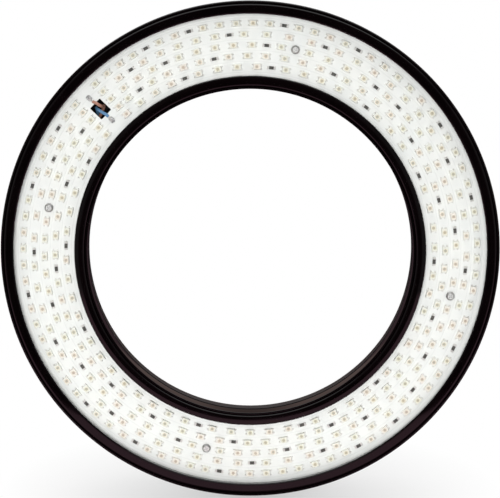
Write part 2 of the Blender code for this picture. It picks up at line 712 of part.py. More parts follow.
def make_driver_board():
    """The arc-shaped board and the parts soldered to its front face."""
    margin = COVER_WALL + DRIVER_BOARD_MARGIN
    board = sector_prism("driver_board", COVER_INNER + margin, COVER_OUTER - margin,
                         DRIVER_BOARD_HALF_ANGLE, DRIVER_FRONT, DRIVER_REAR, BOARD_GREEN)
    passing = [angle for angle in COVER_POST_ANGLES if abs(angle) < DRIVER_BOARD_HALF_ANGLE]
    cut(board, pegs("post_holes", [cover_point(angle, 0) for angle in passing],
                    COVER_POST_RADIUS + GAP, DRIVER_FRONT - OVERRUN, DRIVER_REAR + OVERRUN))
    base = DRIVER_FRONT - GAP
    choke = [
        (0, 0),
        (CHOKE_RADIUS, 0),
        (CHOKE_RADIUS, -CHOKE_FLANGE),
        (CHOKE_WAIST_RADIUS, -CHOKE_FLANGE),
        (CHOKE_WAIST_RADIUS, CHOKE_FLANGE - CHOKE_HEIGHT),
        (CHOKE_RADIUS, CHOKE_FLANGE - CHOKE_HEIGHT),
        (CHOKE_RADIUS, -CHOKE_HEIGHT),
        (0, -CHOKE_HEIGHT),
    ]
    turned("choke", choke, along_depth(cover_point(CHOKE_ANGLE, base)),
           FERRITE, steps=SMALL_STEPS)
    shoulder = CAPACITOR_RADIUS - CAPACITOR_GROOVE
    capacitor = [
        (0, 0),
        (shoulder, 0),
        (CAPACITOR_RADIUS, -CAPACITOR_GROOVE),
        (CAPACITOR_RADIUS, CAPACITOR_GROOVE - CAPACITOR_HEIGHT),
        (shoulder, -CAPACITOR_HEIGHT),
        (0, -CAPACITOR_HEIGHT),
    ]
    turned("capacitor", capacitor, along_depth(cover_point(CAPACITOR_ANGLE, base)),
           CAPACITOR_SLEEVE, steps=SMALL_STEPS)
    width, height, thickness = DRIVER_CHIP_SIZE
    chip = prism_bmesh(rectangle(width, height), -thickness, 0)
    round_edges(chip, is_rim(-thickness), CHIP_ROUND, segments=1)
    finish_bmesh("driver_chip", chip, along_depth(cover_point(DRIVER_CHIP_ANGLE, base)),
                 CHIP_BLACK)


def make_dimmer():
    bottom = DRIVER_REAR + GAP
    top = COVER_CEILING - GAP
    bore_bottom = bottom + SHAFT_SEAT
    bushing_end = top + BUSHING_LENGTH
    bore = SHAFT_RADIUS + GAP
    body = [
        (0, bore_bottom),
        (bore, bore_bottom),
        (bore, bushing_end),
        (BUSHING_RADIUS, bushing_end),
        (BUSHING_RADIUS, top),
        (POT_RADIUS, top),
        (POT_RADIUS, bottom),
        (0, bottom),
    ]
    axis = along_depth(cover_point(DIMMER_ANGLE, 0))
    turned("dimmer_pot", body, axis, ALUMINIUM_BLACK)
    nut_seat = COVER_REAR + GAP
    nut = prism("pot_nut", polygon(POT_NUT_RADIUS, 6), nut_seat, nut_seat + POT_NUT_THICKNESS,
                axis, STEEL)
    cut(nut, round_cutter("nut_bore", DIMMER_ANGLE, BUSHING_RADIUS + GAP,
                          nut_seat - OVERRUN, nut_seat + POT_NUT_THICKNESS + OVERRUN))
    shaft_end = COVER_REAR + SHAFT_STICKOUT
    shaft = [(0, shaft_end), (SHAFT_RADIUS, shaft_end), (SHAFT_RADIUS, bore_bottom + GAP),
             (0, bore_bottom + GAP)]
    turned("pot_shaft", shaft, axis, STEEL)
    low = COVER_REAR + KNOB_LIFT
    high = low + KNOB_HEIGHT
    radii = [KNOB_RADIUS if step % 2 else KNOB_RADIUS - KNOB_GRIP_DEPTH
             for step in range(2 * KNOB_GRIPS)]
    turns = [pi * step / KNOB_GRIPS for step in range(2 * KNOB_GRIPS)]
    outline = [(radius * cos(turn), radius * sin(turn)) for radius, turn in zip(radii, turns)]
    knob = prism_bmesh(outline, low, high)
    round_edges(knob, is_rim(high), KNOB_ROUND, segments=1)
    knob = finish_bmesh("dimmer_knob", knob, axis, SATIN_BLACK)
    recess_radius = POT_NUT_RADIUS + 2 * GAP
    recess_end = low + KNOB_RECESS_DEPTH
    well_radius = BUSHING_RADIUS + 2 * GAP
    well_end = bushing_end + 2 * GAP
    shaft_hole_end = shaft_end + GAP
    hollow = [
        (0, shaft_hole_end),
        (SHAFT_RADIUS + GAP, shaft_hole_end),
        (SHAFT_RADIUS + GAP, well_end),
        (well_radius, well_end),
        (well_radius, recess_end),
        (recess_radius, recess_end),
        (recess_radius, low - OVERRUN),
        (0, low - OVERRUN),
    ]
    middle = (0, (KNOB_RADIUS - POINTER_LENGTH) + POINTER_LENGTH / 2 + OVERRUN / 2)
    pointer = prism("pointer_groove",
                    rectangle(POINTER_WIDTH, POINTER_LENGTH + OVERRUN, middle),
                    high - POINTER_DEPTH, high + OVERRUN,
                    axis @ Matrix.Rotation(radians(-POINTER_START), 4, "Z"))
    cut(knob, turned("knob_hollow", hollow, axis), pointer)


def switch_pivot():
    """Middle of the rocker's own axle, level with the cover's rear face."""
    return cover_point(SWITCH_ANGLE, COVER_REAR)


def make_switch():
    place = along_depth(cover_point(SWITCH_ANGLE, 0))
    seat = COVER_REAR + GAP
    rim = seat + SWITCH_FLANGE_THICKNESS
    housing = prism("switch_housing", rectangle(*SWITCH_BODY), DRIVER_REAR + GAP,
                    rim - SWITCH_FLANGE_THICKNESS / 2, place, SATIN_BLACK)
    flange = prism("switch_flange", rectangle(*SWITCH_FLANGE), seat, rim, place)
    join(housing, flange)
    cut(housing, prism("switch_recess", rectangle(*SWITCH_RECESS),
                       rim - SWITCH_RECESS_DEPTH, rim + OVERRUN, place))
    half = ROCKER_HALF_LENGTH
    outline = [
        (-half, 0),
        (-half, -ROCKER_RISE),
        (0, -ROCKER_DIP),
        (half, -ROCKER_RISE),
        (half, 0),
        (0, ROCKER_KEEL),
    ]
    width = SWITCH_RECESS[0] - 2 * GAP
    outline = [(depth, along) for along, depth in outline]
    rocker = prism_bmesh(outline, -width / 2, width / 2)
    tilt = Matrix.Rotation(radians(ROCKER_THROW / 2), 4, "X")
    place = Matrix.Translation(switch_pivot()) @ tilt @ along_x(Vector())
    finish_bmesh("power_rocker", rocker, place, GLOSS_BLACK)


def make_jack():
    mouth = COVER_REAR + JACK_PROUD
    floor = mouth - JACK_HOLE_DEPTH
    base = DRIVER_REAR + GAP
    pin_end = mouth - JACK_PIN_RECESS
    profile = [
        (0, pin_end),
        (JACK_PIN_RADIUS, pin_end),
        (JACK_PIN_RADIUS, floor),
        (JACK_HOLE_RADIUS, floor),
        (JACK_HOLE_RADIUS, mouth),
        (JACK_RADIUS, mouth),
        (JACK_RADIUS, base),
        (0, base),
    ]
    turned("power_inlet", profile, along_depth(cover_point(JACK_ANGLE, 0)), SATIN_BLACK)


def make_tilt_bracket():
    """A plate on the cover with two lugs that carry the hinge bolt."""
    pivot = Vector((0, 0, PIVOT_HEIGHT))
    plate_near = BRACKET_REACH - GAP
    plate_far = BRACKET_REACH - GAP - BRACKET_PLATE
    place = along_x(pivot)
    plate_outline = [(plate_far, BRACKET_DROP), (plate_near, BRACKET_DROP),
                     (plate_near, -BRACKET_RISE), (plate_far, -BRACKET_RISE)]
    bracket = prism("tilt_bracket", plate_outline, -LUG_OUTSIDE, LUG_OUTSIDE, place,
                    ALUMINIUM_BLACK)
    root = (plate_far + plate_near) / 2
    lug_outline = ([(root, -HINGE_RADIUS)]
                   + arc(HINGE_RADIUS, 270, 90, ROUND_STEPS // 2)
                   + [(root, BRACKET_DROP)])
    for side, name in ((-1, "left_lug"), (1, "right_lug")):
        low = LUG_INSIDE if side > 0 else -LUG_OUTSIDE
        join(bracket, prism(name, lug_outline, low, low + LUG_THICKNESS, place))
    hole = polygon(BOLT_RADIUS + GAP, ROUND_STEPS)
    reach = LUG_OUTSIDE + OVERRUN
    pilots = [Vector((spot.x, 0, spot.z)) for spot in bracket_screw_places()]
    bite = COVER_REAR + GAP + BRACKET_SCREW_BITE + GAP
    cut(bracket,
        prism("lug_holes", hole, -reach, reach, place),
        pegs("bracket_pilots", pilots, HOLE_RADIUS, COVER_REAR - OVERRUN, bite))


def make_hinge():
    """The bolt, its washers and the clamp knob with its brass insert."""
    axis = along_x(Vector((0, 0, PIVOT_HEIGHT)))
    ring_profile = [
        (WASHER_RADIUS, WASHER_THICKNESS),
        (WASHER_RADIUS, 0),
        (BOLT_RADIUS + GAP, 0),
        (BOLT_RADIUS + GAP, WASHER_THICKNESS),
    ]
    near = LUG_OUTSIDE + GAP
    for index, start in enumerate((-near - WASHER_THICKNESS, near), 1):
        place = along_x(Vector((start, 0, PIVOT_HEIGHT)))
        turned(f"hinge_washer_{index}", ring_profile, place, STEEL, closed=True)
    face = near + WASHER_THICKNESS + GAP
    tip = face + BOLT_GRIP
    bolt = prism("hinge_bolt", polygon(BOLT_HEAD_RADIUS, 6), -face - BOLT_HEAD_HEIGHT, -face,
                 axis, STEEL)
    join(bolt, prism("bolt_shank", polygon(BOLT_RADIUS, ROUND_STEPS),
                     -face - BOLT_HEAD_HEIGHT / 2, tip, axis))
    insert_start = face + 2 * GAP
    insert_end = insert_start + CLAMP_INSERT_LENGTH
    insert = [
        (CLAMP_INSERT_RADIUS, insert_end),
        (CLAMP_INSERT_RADIUS, insert_start),
        (BOLT_RADIUS + GAP, insert_start),
        (BOLT_RADIUS + GAP, insert_end),
    ]
    turned("clamp_insert", insert, axis, BRASS, closed=True)
    steps = 6 * CLAMP_LOBES
    outline = []
    for step in range(steps):
        turn = 2 * pi * step / steps
        radius = CLAMP_RADIUS - CLAMP_LOBE_DEPTH * (1 - cos(CLAMP_LOBES * turn)) / 2
        outline.append((radius * cos(turn), radius * sin(turn)))
    knob = prism_bmesh(outline, face, face + CLAMP_LENGTH)
    round_edges(knob, is_rim(face + CLAMP_LENGTH), CLAMP_ROUND)
    knob = finish_bmesh("clamp_knob", knob, axis, RUBBER_BLACK)
    cut(knob, prism("clamp_hollow", polygon(CLAMP_INSERT_RADIUS + GAP, ROUND_STEPS),
                    face - OVERRUN, insert_end + GAP, axis))


def make_stand_foot():
    pad_hole = INSERT_RADIUS + GAP
    pad = [
        (FOOT_RADIUS, PAD_THICKNESS),
        (FOOT_RADIUS, 0),
        (pad_hole, 0),
        (pad_hole, PAD_THICKNESS),
    ]
    turned("foot_pad", pad, upright((0, 0, 0)), RUBBER_BLACK, closed=True)
    base = PAD_THICKNESS + GAP
    shoulder = base + FOOT_HEIGHT
    profile = [
        (0, shoulder),
        (FOOT_RADIUS - FOOT_ROUND, shoulder),
        (FOOT_RADIUS, shoulder - FOOT_ROUND),
        (FOOT_RADIUS, base),
        (0, base),
    ]
    foot = turned("stand_foot", profile, upright((0, 0, 0)), ALUMINIUM_BLACK)
    drop = PIVOT_HEIGHT - shoulder + OVERRUN
    spread = degrees(asin(NECK_HALF_DEPTH / HINGE_RADIUS))
    neck = ([(NECK_HALF_DEPTH, drop)]
            + arc(HINGE_RADIUS, 90 - spread, spread - 270, ROUND_STEPS)
            + [(-NECK_HALF_DEPTH, drop)])
    place = along_x(Vector((0, 0, PIVOT_HEIGHT)))
    half = TONGUE_WIDTH / 2
    join(foot, prism("foot_neck", neck, -half, half, place))
    insert_end = base + INSERT_LENGTH
    socket = [(0, insert_end + GAP), (INSERT_RADIUS + GAP, insert_end + GAP),
              (INSERT_RADIUS + GAP, base - OVERRUN), (0, base - OVERRUN)]
    cut(foot,
        prism("foot_pivot_hole", polygon(BOLT_RADIUS + GAP, ROUND_STEPS), -half - OVERRUN,
              half + OVERRUN, place),
        turned("insert_socket", socket, upright((0, 0, 0))))
    insert = [
        (INSERT_RADIUS, insert_end),
        (INSERT_RADIUS, base),
        (THREAD_RADIUS, base),
        (THREAD_RADIUS, insert_end),
    ]
    turned("thread_insert", insert, upright((0, 0, 0)), BRASS, closed=True)


def lead_route_radius():
    """The outer lead runs just inside the bosses of the board screws."""
    return SLOT_MIDDLE - BOARD_BOSS_RADIUS - LEAD_ROUTE_MARGIN


def lead_hole_radius():
    """The leads leave the rear shell just inside the cover's inner wall."""
    return COVER_INNER + COVER_WALL + LEAD_HOLE_MARGIN


def lead_points(pad_side, pad_radius, slot_radius, route_radius, end_angle):
    """Route of one lead, from its pad on the board's face to the driver board."""
    above = BOARD_SETBACK - GAP - LEAD_RADIUS
    below = DECK_REAR + LEAD_ROUTE_DEPTH
    route = [
        (pad_radius, SLOT_ANGLE, above),
        (pad_radius - pad_side * LEAD_PAD_OFFSET / 2, SLOT_ANGLE, above - LEAD_LOOP_RISE / 2),
        (slot_radius + pad_side * LEAD_RADIUS, SLOT_ANGLE, above - LEAD_LOOP_RISE / 2),
        (slot_radius, SLOT_ANGLE, BOARD_SETBACK + BOARD_THICKNESS / 2),
        (slot_radius, SLOT_ANGLE, DECK_REAR),
        ((slot_radius + route_radius) / 2, SLOT_ANGLE + LEAD_ROUTE_STEP / 4, below),
    ]
    start_angle = SLOT_ANGLE + LEAD_ROUTE_STEP
    count = max(1, round((end_angle - start_angle) / LEAD_ROUTE_STEP))
    for step in range(count):
        angle = start_angle + (end_angle - start_angle) * step / count
        route.append((route_radius, angle, below))
    turn_radius = lead_hole_radius() - (lead_route_radius() - route_radius) / 2
    route += [
        (turn_radius, end_angle - LEAD_ROUTE_STEP / 8, below + LEAD_ROUTE_DEPTH),
        (turn_radius, end_angle, REAR_PLATE_FRONT),
        (turn_radius, end_angle, DRIVER_FRONT - GAP),
    ]
    return [ring_point(*point) for point in route]


def lead(name, points, finish):
    curve = bpy.data.curves.new(name, "CURVE")
    curve.dimensions = "3D"
    curve.bevel_depth = LEAD_RADIUS
    curve.bevel_resolution = 2
    curve.use_fill_caps = True
    spline = curve.splines.new("POLY")
    spline.points.add(len(points) - 1)
    for spot, place in zip(spline.points, points):
        spot.co = (*place, 1.0)
    obj = bpy.data.objects.new(name, curve)
    PARTS.objects.link(obj)
    curve.materials.append(make_material(name, *finish))


def make_leads():
    """Red runs from the outer pad and blue from the inner one, side by side to the back."""
    pad_offset = SLOT_LENGTH / 2 + LEAD_PAD_OFFSET
    slot_offset = SLOT_LENGTH / 2 - LEAD_SLOT_ROOM
    outer_route = lead_route_radius()
    inner_route = outer_route - LEAD_SPACING
    apart = degrees(LEAD_SPACING / inner_route) / 2
    lead("red_lead",
         lead_points(1, SLOT_MIDDLE + pad_offset, SLOT_MIDDLE + slot_offset, outer_route,
                     LEAD_HOLE_ANGLE - apart), RED_PVC)
    lead("blue_lead",
         lead_points(-1, SLOT_MIDDLE - pad_offset, SLOT_MIDDLE - slot_offset, inner_route,
                     LEAD_HOLE_ANGLE + apart), BLUE_PVC)


make_bezels()
make_front_shell()
make_rear_shell()
make_led_board()
make_screws()
make_control_cover()
make_driver_board()
make_dimmer()
make_switch()
make_jack()
make_tilt_bracket()
make_hinge()
make_stand_foot()
make_leads()
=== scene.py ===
# %% [markdown]
# # A ring light, dressed for its photograph
# The solids of this lamp come packed as a fixed frame: every piece has its true size and place.
# This file keeps those places and gives each visible piece its fine shape and its finish: gloss
# black bezels, a white board full of small LEDs, wires, screws, a dimmer knob and a tilting foot.

# %% Load the frame
import json
import random
from functools import partialmethod
from math import cos, degrees, hypot, pi, radians, sin, tan, tau

import bmesh
import bpy
from mathutils import Matrix, Vector


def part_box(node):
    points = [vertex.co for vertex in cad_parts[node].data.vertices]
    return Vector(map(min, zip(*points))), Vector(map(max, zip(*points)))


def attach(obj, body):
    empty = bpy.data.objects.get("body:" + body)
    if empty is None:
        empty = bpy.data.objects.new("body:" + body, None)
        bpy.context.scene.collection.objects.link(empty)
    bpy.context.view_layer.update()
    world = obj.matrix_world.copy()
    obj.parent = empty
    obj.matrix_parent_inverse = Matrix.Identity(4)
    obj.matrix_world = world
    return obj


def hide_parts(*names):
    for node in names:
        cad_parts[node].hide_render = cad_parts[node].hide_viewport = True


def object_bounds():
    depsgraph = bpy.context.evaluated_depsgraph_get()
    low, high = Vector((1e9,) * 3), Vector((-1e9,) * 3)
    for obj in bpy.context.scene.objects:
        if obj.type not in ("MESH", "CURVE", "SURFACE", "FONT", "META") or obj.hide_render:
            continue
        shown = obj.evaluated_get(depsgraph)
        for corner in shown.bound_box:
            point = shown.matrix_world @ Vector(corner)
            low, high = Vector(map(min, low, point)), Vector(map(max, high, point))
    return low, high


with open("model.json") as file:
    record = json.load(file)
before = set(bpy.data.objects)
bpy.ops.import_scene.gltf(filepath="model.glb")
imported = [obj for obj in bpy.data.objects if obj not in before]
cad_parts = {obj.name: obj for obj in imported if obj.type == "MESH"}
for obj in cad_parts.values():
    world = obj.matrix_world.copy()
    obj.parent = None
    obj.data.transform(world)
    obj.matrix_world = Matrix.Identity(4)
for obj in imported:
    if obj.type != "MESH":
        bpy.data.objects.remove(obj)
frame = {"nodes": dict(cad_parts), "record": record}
CAD_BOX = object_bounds()
NODES = frame["nodes"]
BODY_OF = {node: body for body, members in frame["record"]["behaviour"]["bodies"].items()
           for node in members}

# %% [markdown]
# ## Where the ring is
# The ring is a solid of revolution about an axis that runs along Y. Its centre and its radii are
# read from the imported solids, so nothing here has to be fitted afterwards. "Depth" means the
# distance behind the front face, and angles run anticlockwise seen from the front.

# %% Ring measures
MM = 0.001
GAP = 0.3 * MM
WELD = 0.002 * MM


def middle(node):
    low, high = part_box(node)
    return (low + high) / 2


def ends(node, axis):
    """Where a node begins and ends along a world axis."""
    return [getattr(corner, axis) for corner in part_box(node)]


CENTRE = Vector((0, ends("outer_bezel", "y")[0], middle("outer_bezel").z))


def radii(node):
    """Smallest and largest distance of a node's corners from the ring's axis."""
    spans = [hypot(v.co.x - CENTRE.x, v.co.z - CENTRE.z) for v in NODES[node].data.vertices]
    return min(spans), max(spans)


def depths(node):
    return [end - CENTRE.y for end in ends(node, "y")]


def ring_point(radius, angle, depth):
    turn = radians(angle)
    return CENTRE + Vector((radius * cos(turn), depth, radius * sin(turn)))


RIM_BORE, OUTER = radii("front_shell")
WINDOW_OUTER, LIP_OUTER = radii("outer_bezel")
LIP_INNER, WINDOW_INNER = radii("inner_bezel")
SEAM_BORE = radii("rear_shell")[0]
RING_DEPTH = depths("rear_shell")[1]
BOARD_THICKNESS = 1.6 * MM
BOARD_BACK = depths("led_board")[1]
BOARD_FRONT = BOARD_BACK - BOARD_THICKNESS
print("ring, mm:", [round(value / MM, 2)
                    for value in (RIM_BORE, WINDOW_INNER, WINDOW_OUTER, OUTER)])

# %% [markdown]
# ## The camera
# The photograph looks at the ring almost square on, from a little above. The bore's two rims
# give the distance and the height: the rear rim sits higher in the picture than the front one.
# A long lens keeps the ring round, and a small shift puts its centre where the picture has it.

# %% Camera
PICTURE_SIZE = (500, 498)
CENTRE_PIXEL = (250.25, 253.15)
FOCAL_PIXELS = 1617
CAMERA_DISTANCE = 0.776
CAMERA_RISE = radians(7.2)
SENSOR = 36.0


def add_camera():
    lens = bpy.data.cameras.new("camera")
    lens.sensor_width = SENSOR
    lens.lens = SENSOR * FOCAL_PIXELS / PICTURE_SIZE[0]
    lens.shift_x = (PICTURE_SIZE[0] / 2 - CENTRE_PIXEL[0]) / PICTURE_SIZE[0]
    lens.shift_y = (CENTRE_PIXEL[1] - PICTURE_SIZE[1] / 2) / PICTURE_SIZE[0]
    camera = bpy.data.objects.new("camera", lens)
    away = Vector((0, -cos(CAMERA_RISE), sin(CAMERA_RISE)))
    camera.location = CENTRE + away * CAMERA_DISTANCE
    camera.rotation_euler = (pi / 2 - CAMERA_RISE, 0, 0)
    bpy.context.scene.collection.objects.link(camera)
    bpy.context.scene.camera = camera
    return camera


print("camera at", [round(value, 3) for value in add_camera().location])

# %% [markdown]
# ## Sums on shader sockets
# A material here is a small formula. Wrapping a socket in a class with the usual operators lets
# the formula be written as one, and every operator adds the Math node that it stands for.

# %% Shader helpers


def add_node(tree, kind, settings=None, sockets=None, output=0):
    """Add a node, give it its settings, then its values or links, and return one output."""
    node = tree.nodes.new(kind)
    for name, value in (settings or {}).items():
        if name == "stops":
            set_stops(node.color_ramp, value)
        else:
            setattr(node, name, value)
    for name, value in (sockets or {}).items():
        if isinstance(value, Signal):
            tree.links.new(value.socket, node.inputs[name])
        else:
            node.inputs[name].default_value = value
    return Signal(node.outputs[output])


def set_stops(ramp, stops):
    while len(ramp.elements) < len(stops):
        ramp.elements.new(0.5)
    for element, (place, color) in zip(ramp.elements, stops):
        element.position = place
        element.color = (*color, 1.0)


class Signal:
    """A shader socket that takes part in Python sums."""

    def __init__(self, socket):
        self.socket = socket

    def math(self, operation, *others):
        values = dict(enumerate((self, *others)))
        return add_node(self.socket.id_data, "ShaderNodeMath", {"operation": operation}, values)

    __add__ = __radd__ = partialmethod(math, "ADD")
    __mul__ = __rmul__ = partialmethod(math, "MULTIPLY")
    __sub__ = partialmethod(math, "SUBTRACT")
    __truediv__ = partialmethod(math, "DIVIDE")
    __gt__ = partialmethod(math, "GREATER_THAN")
    __lt__ = partialmethod(math, "LESS_THAN")

    def __rsub__(self, other):
        return (self * -1) + other

    def span(self, low, high, start=0.0, end=1.0):
        """Map low..high to start..end, clamped."""
        sockets = {"Value": self, "From Min": low, "From Max": high, "To Min": start, "To Max": end}
        return add_node(self.socket.id_data, "ShaderNodeMapRange", {}, sockets)

    def part(self, axis):
        """One coordinate of a vector."""
        return add_node(self.socket.id_data, "ShaderNodeSeparateXYZ", {}, {0: self},
                        "XYZ".index(axis))


class Finish:
    """One material: its tree, its shader and the few patterns that the finishes share."""

    def __init__(self, name, color, roughness, metallic=0.0, **constants):
        self.material = bpy.data.materials.new(name)
        self.material.use_nodes = True
        self.material.diffuse_color = (*color, 1.0)
        self.tree = self.material.node_tree
        self.shader = self.tree.nodes["Principled BSDF"]
        constants |= {"base_color": (*color, 1.0), "roughness": roughness, "metallic": metallic}
        for socket, value in constants.items():
            self.put(socket.replace("_", " ").title(), value)
        self.place = add_node(self.tree, "ShaderNodeTexCoord", output="Object")

    def put(self, socket, value):
        if isinstance(value, Signal):
            self.tree.links.new(value.socket, self.shader.inputs[socket])
        else:
            self.shader.inputs[socket].default_value = value

    def moved(self, origin=(0, 0, 0), stretch=(1, 1, 1)):
        """Object coordinates counted from an origin, and stretched."""
        shift = [-start * scale for start, scale in zip(origin, stretch)]
        return add_node(self.tree, "ShaderNodeMapping", {},
                        {"Vector": self.place, "Location": shift, "Scale": stretch})

    def noise(self, size, detail, place=None):
        """Smooth noise whose blobs measure about the given size in metres."""
        return add_node(self.tree, "ShaderNodeTexNoise", {},
                        {"Vector": place or self.place, "Scale": 1.0 / size, "Detail": detail})

    def attribute(self, name):
        return add_node(self.tree, "ShaderNodeAttribute", {"attribute_name": name}, output="Fac")

    def axial(self, centre, axis="Y"):
        """Distance from a line along an axis, in metres."""
        place = self.moved(centre)
        across = [place.part(name) for name in "XYZ" if name != axis]
        return (across[0] * across[0] + across[1] * across[1]).math("SQRT")

    def mix(self, share, first, second):
        """Blend two colours by a signal from 0 to 1."""
        first, second = (color if isinstance(color, Signal) else (*color, 1.0)
                         for color in (first, second))
        return add_node(self.tree, "ShaderNodeMix", {"data_type": "RGBA"},
                        {0: share, 6: first, 7: second}, output=2)

    def bump(self, height, distance, strength=1.0):
        """Raise the surface where the height signal is high; the distance is in metres."""
        sockets = {"Strength": strength, "Distance": distance, "Height": height}
        self.put("Normal", add_node(self.tree, "ShaderNodeBump", {}, sockets))


def worn(name, colors, clouds, grain, roughness, relief, metallic=0.0, **constants):
    """Two colours in wide clouds under a fine grain.

    Clouds and grain are each a size in mm and a detail. The roughness is a start value and what
    the clouds and the grain add to it. The relief is a height in mm and a strength.
    """
    finish = Finish(name, colors[0], roughness[0], metallic, **constants)
    wide, fine = (finish.noise(size * MM, detail) for size, detail in (clouds, grain))
    finish.put("Base Color", finish.mix(wide, *colors))
    finish.put("Roughness", roughness[0] + wide * roughness[1] + fine * roughness[2])
    finish.bump(fine, relief[0] * MM, relief[1])
    return finish


def scaled(color, factor, lift=0.0):
    """A colour made darker or lighter, and then lifted by a fixed amount."""
    return tuple(lift + value * factor for value in color)


print("shader helpers ready")

# %% [markdown]
# ## Shaping tools
# Most pieces here are turned or extruded on the real lamp's moulds, so two shapers make nearly
# all of them: one spins an outline round an axis and the other pushes an outline to a height.
# Corners get their rounding in the outline itself or from a bevel, and holes come from a Boolean
# modifier that is applied at once. Weighted normals keep big flat faces flat in reflections.

# %% Turn, extrude, bevel and cut
RING_STEPS = 288
ROUND_STEPS = 48
CREASE = 30.0


def rounded(corners, steps=4):
    """Points of an outline; a corner's third number, if there is one, is its rounding."""
    points = []
    for index, corner in enumerate(corners):
        here = Vector(corner[:2])
        if len(corner) == 2:
            points.append(here)
            continue
        back = (Vector(corners[index - 1][:2]) - here).normalized()
        onward = (Vector(corners[(index + 1) % len(corners)][:2]) - here).normalized()
        half = back.angle(onward) / 2
        centre = here + (back + onward).normalized() * corner[2] / sin(half)
        start = here + back * corner[2] / tan(half) - centre
        end = here + onward * corner[2] / tan(half) - centre
        points += [centre + start.slerp(end, step / steps) * start.length
                   for step in range(steps + 1)]
    return points


def arc(radius, start, end, steps):
    turns = [radians(start + (end - start) * step / steps) for step in range(steps + 1)]
    return [(radius * cos(turn), radius * sin(turn)) for turn in turns]


def polygon(radius, corners):
    return arc(radius, 0.0, 360.0, corners)[:-1]


def rectangle(width, height, corner=None, centre=(0, 0)):
    """Corners of a rectangle, with a rounding where one is given."""
    signs = ((-1, -1), (1, -1), (1, 1), (-1, 1))
    rounding = () if corner is None else (corner,)
    return rounded([(centre[0] + x * width / 2, centre[1] + y * height / 2, *rounding)
                    for x, y in signs])


def along_depth(place):
    """Placement whose local Z runs from the front of the ring to the back."""
    return Matrix.Translation(place) @ Matrix.Rotation(-pi / 2, 4, "X")


def facing_front(place):
    """Placement whose local Z looks out of the front."""
    return Matrix.Translation(place) @ Matrix.Rotation(pi / 2, 4, "X")


def along_x(place):
    """Placement whose local Z is world X, local X is world -Y and local Y is world -Z."""
    turn = Matrix(((0, 0, 1), (-1, 0, 0), (0, -1, 0))).to_4x4()
    return Matrix.Translation(place) @ turn


RING_AXIS = along_depth(CENTRE)


def behind(node):
    """Placement on a node's middle whose local Z is the depth behind the ring's front."""
    spot = middle(node) - CENTRE
    return RING_AXIS @ Matrix.Translation((spot.x, -spot.z, 0))


def placed(shape, matrix):
    bmesh.ops.transform(shape, matrix=matrix, verts=shape.verts)
    return shape


def lathe(profile, place, steps=ROUND_STEPS, closed=True):
    """Spin a (radius, height) outline round local Z."""
    shape = bmesh.new()
    corners = [shape.verts.new((radius, 0, height)) for radius, height in profile]
    following = corners[1:] + corners[:1] if closed else corners[1:]
    edges = [shape.edges.new(pair) for pair in zip(corners, following)]
    bmesh.ops.spin(shape, geom=corners + edges, cent=(0, 0, 0), axis=(0, 0, 1), angle=tau,
                   steps=steps, use_merge=True)
    bmesh.ops.remove_doubles(shape, verts=shape.verts, dist=WELD)
    bmesh.ops.recalc_face_normals(shape, faces=shape.faces)
    return placed(shape, place)


def turned(points, place, steps=ROUND_STEPS, rounding=4):
    """Spin an outline that starts and ends square on the axis."""
    line = [(0, points[0][1]), *points, (0, points[-1][1])]
    return lathe(rounded(line, rounding), place, steps, closed=False)


def ridges(radius, depth, pitch, start, count):
    """Points of a ridged outline, from its first valley to its last."""
    points = []
    for index in range(count):
        low = start + index * pitch
        points += [(radius - depth, low), (radius, low + pitch / 2)]
    return points + [(radius - depth, start + count * pitch)]


def soften(shape, is_wanted, width, segments):
    edges = [edge for edge in shape.edges if is_wanted(edge)]
    bmesh.ops.bevel(shape, geom=edges, offset=width, offset_type="OFFSET", affect="EDGES",
                    segments=segments, profile=0.5, material=-1, clamp_overlap=True)


def at_height(*heights):
    """Picks edges that lie flat at one of some heights."""
    return lambda edge: any(all(abs(vert.co.z - height) < WELD for vert in edge.verts)
                            for height in heights)


def slab(outline, low, high, place, top=0.0, bottom=0.0, segments=3):
    """Push an outline from one height to another, with its rims rounded where asked."""
    shape = bmesh.new()
    face = shape.faces.new([shape.verts.new((x, y, low)) for x, y in outline])
    pushed = bmesh.ops.extrude_face_region(shape, geom=[face], use_keep_orig=True)
    moved = [item for item in pushed["geom"] if isinstance(item, bmesh.types.BMVert)]
    bmesh.ops.translate(shape, verts=moved, vec=(0, 0, high - low))
    bmesh.ops.recalc_face_normals(shape, faces=shape.faces)
    if top:
        soften(shape, at_height(high), top, segments)
    if bottom:
        soften(shape, at_height(low), bottom, segments)
    return placed(shape, place)


def as_mesh(name, shape):
    mesh = bpy.data.meshes.new(name)
    shape.to_mesh(mesh)
    shape.free()
    return mesh


def as_object(name, shape):
    thing = bpy.data.objects.new(name, as_mesh(name, shape))
    bpy.context.scene.collection.objects.link(thing)
    return thing


def combine(shape, others, operation="DIFFERENCE"):
    """Cut shapes out of a shape, or join them to it, with Boolean modifiers."""
    body = as_object("body", shape)
    tools = [as_object("tool", other) for other in others]
    for tool in tools:
        step = body.modifiers.new("step", "BOOLEAN")
        step.operation = operation
        step.solver = "EXACT"
        step.object = tool
    result = bmesh.new()
    result.from_object(body, bpy.context.evaluated_depsgraph_get())
    for thing in (body, *tools):
        mesh = thing.data
        bpy.data.objects.remove(thing)
        bpy.data.meshes.remove(mesh)
    return result


def merge(*shapes):
    """Put several shapes into one mesh without joining them."""
    whole = bmesh.new()
    for shape in shapes:
        part = as_mesh("part", shape)
        whole.from_mesh(part)
        bpy.data.meshes.remove(part)
    return whole


def paint(shape, index):
    """Give all faces of a shape one of the piece's finishes."""
    for face in shape.faces:
        face.material_index = index
    return shape


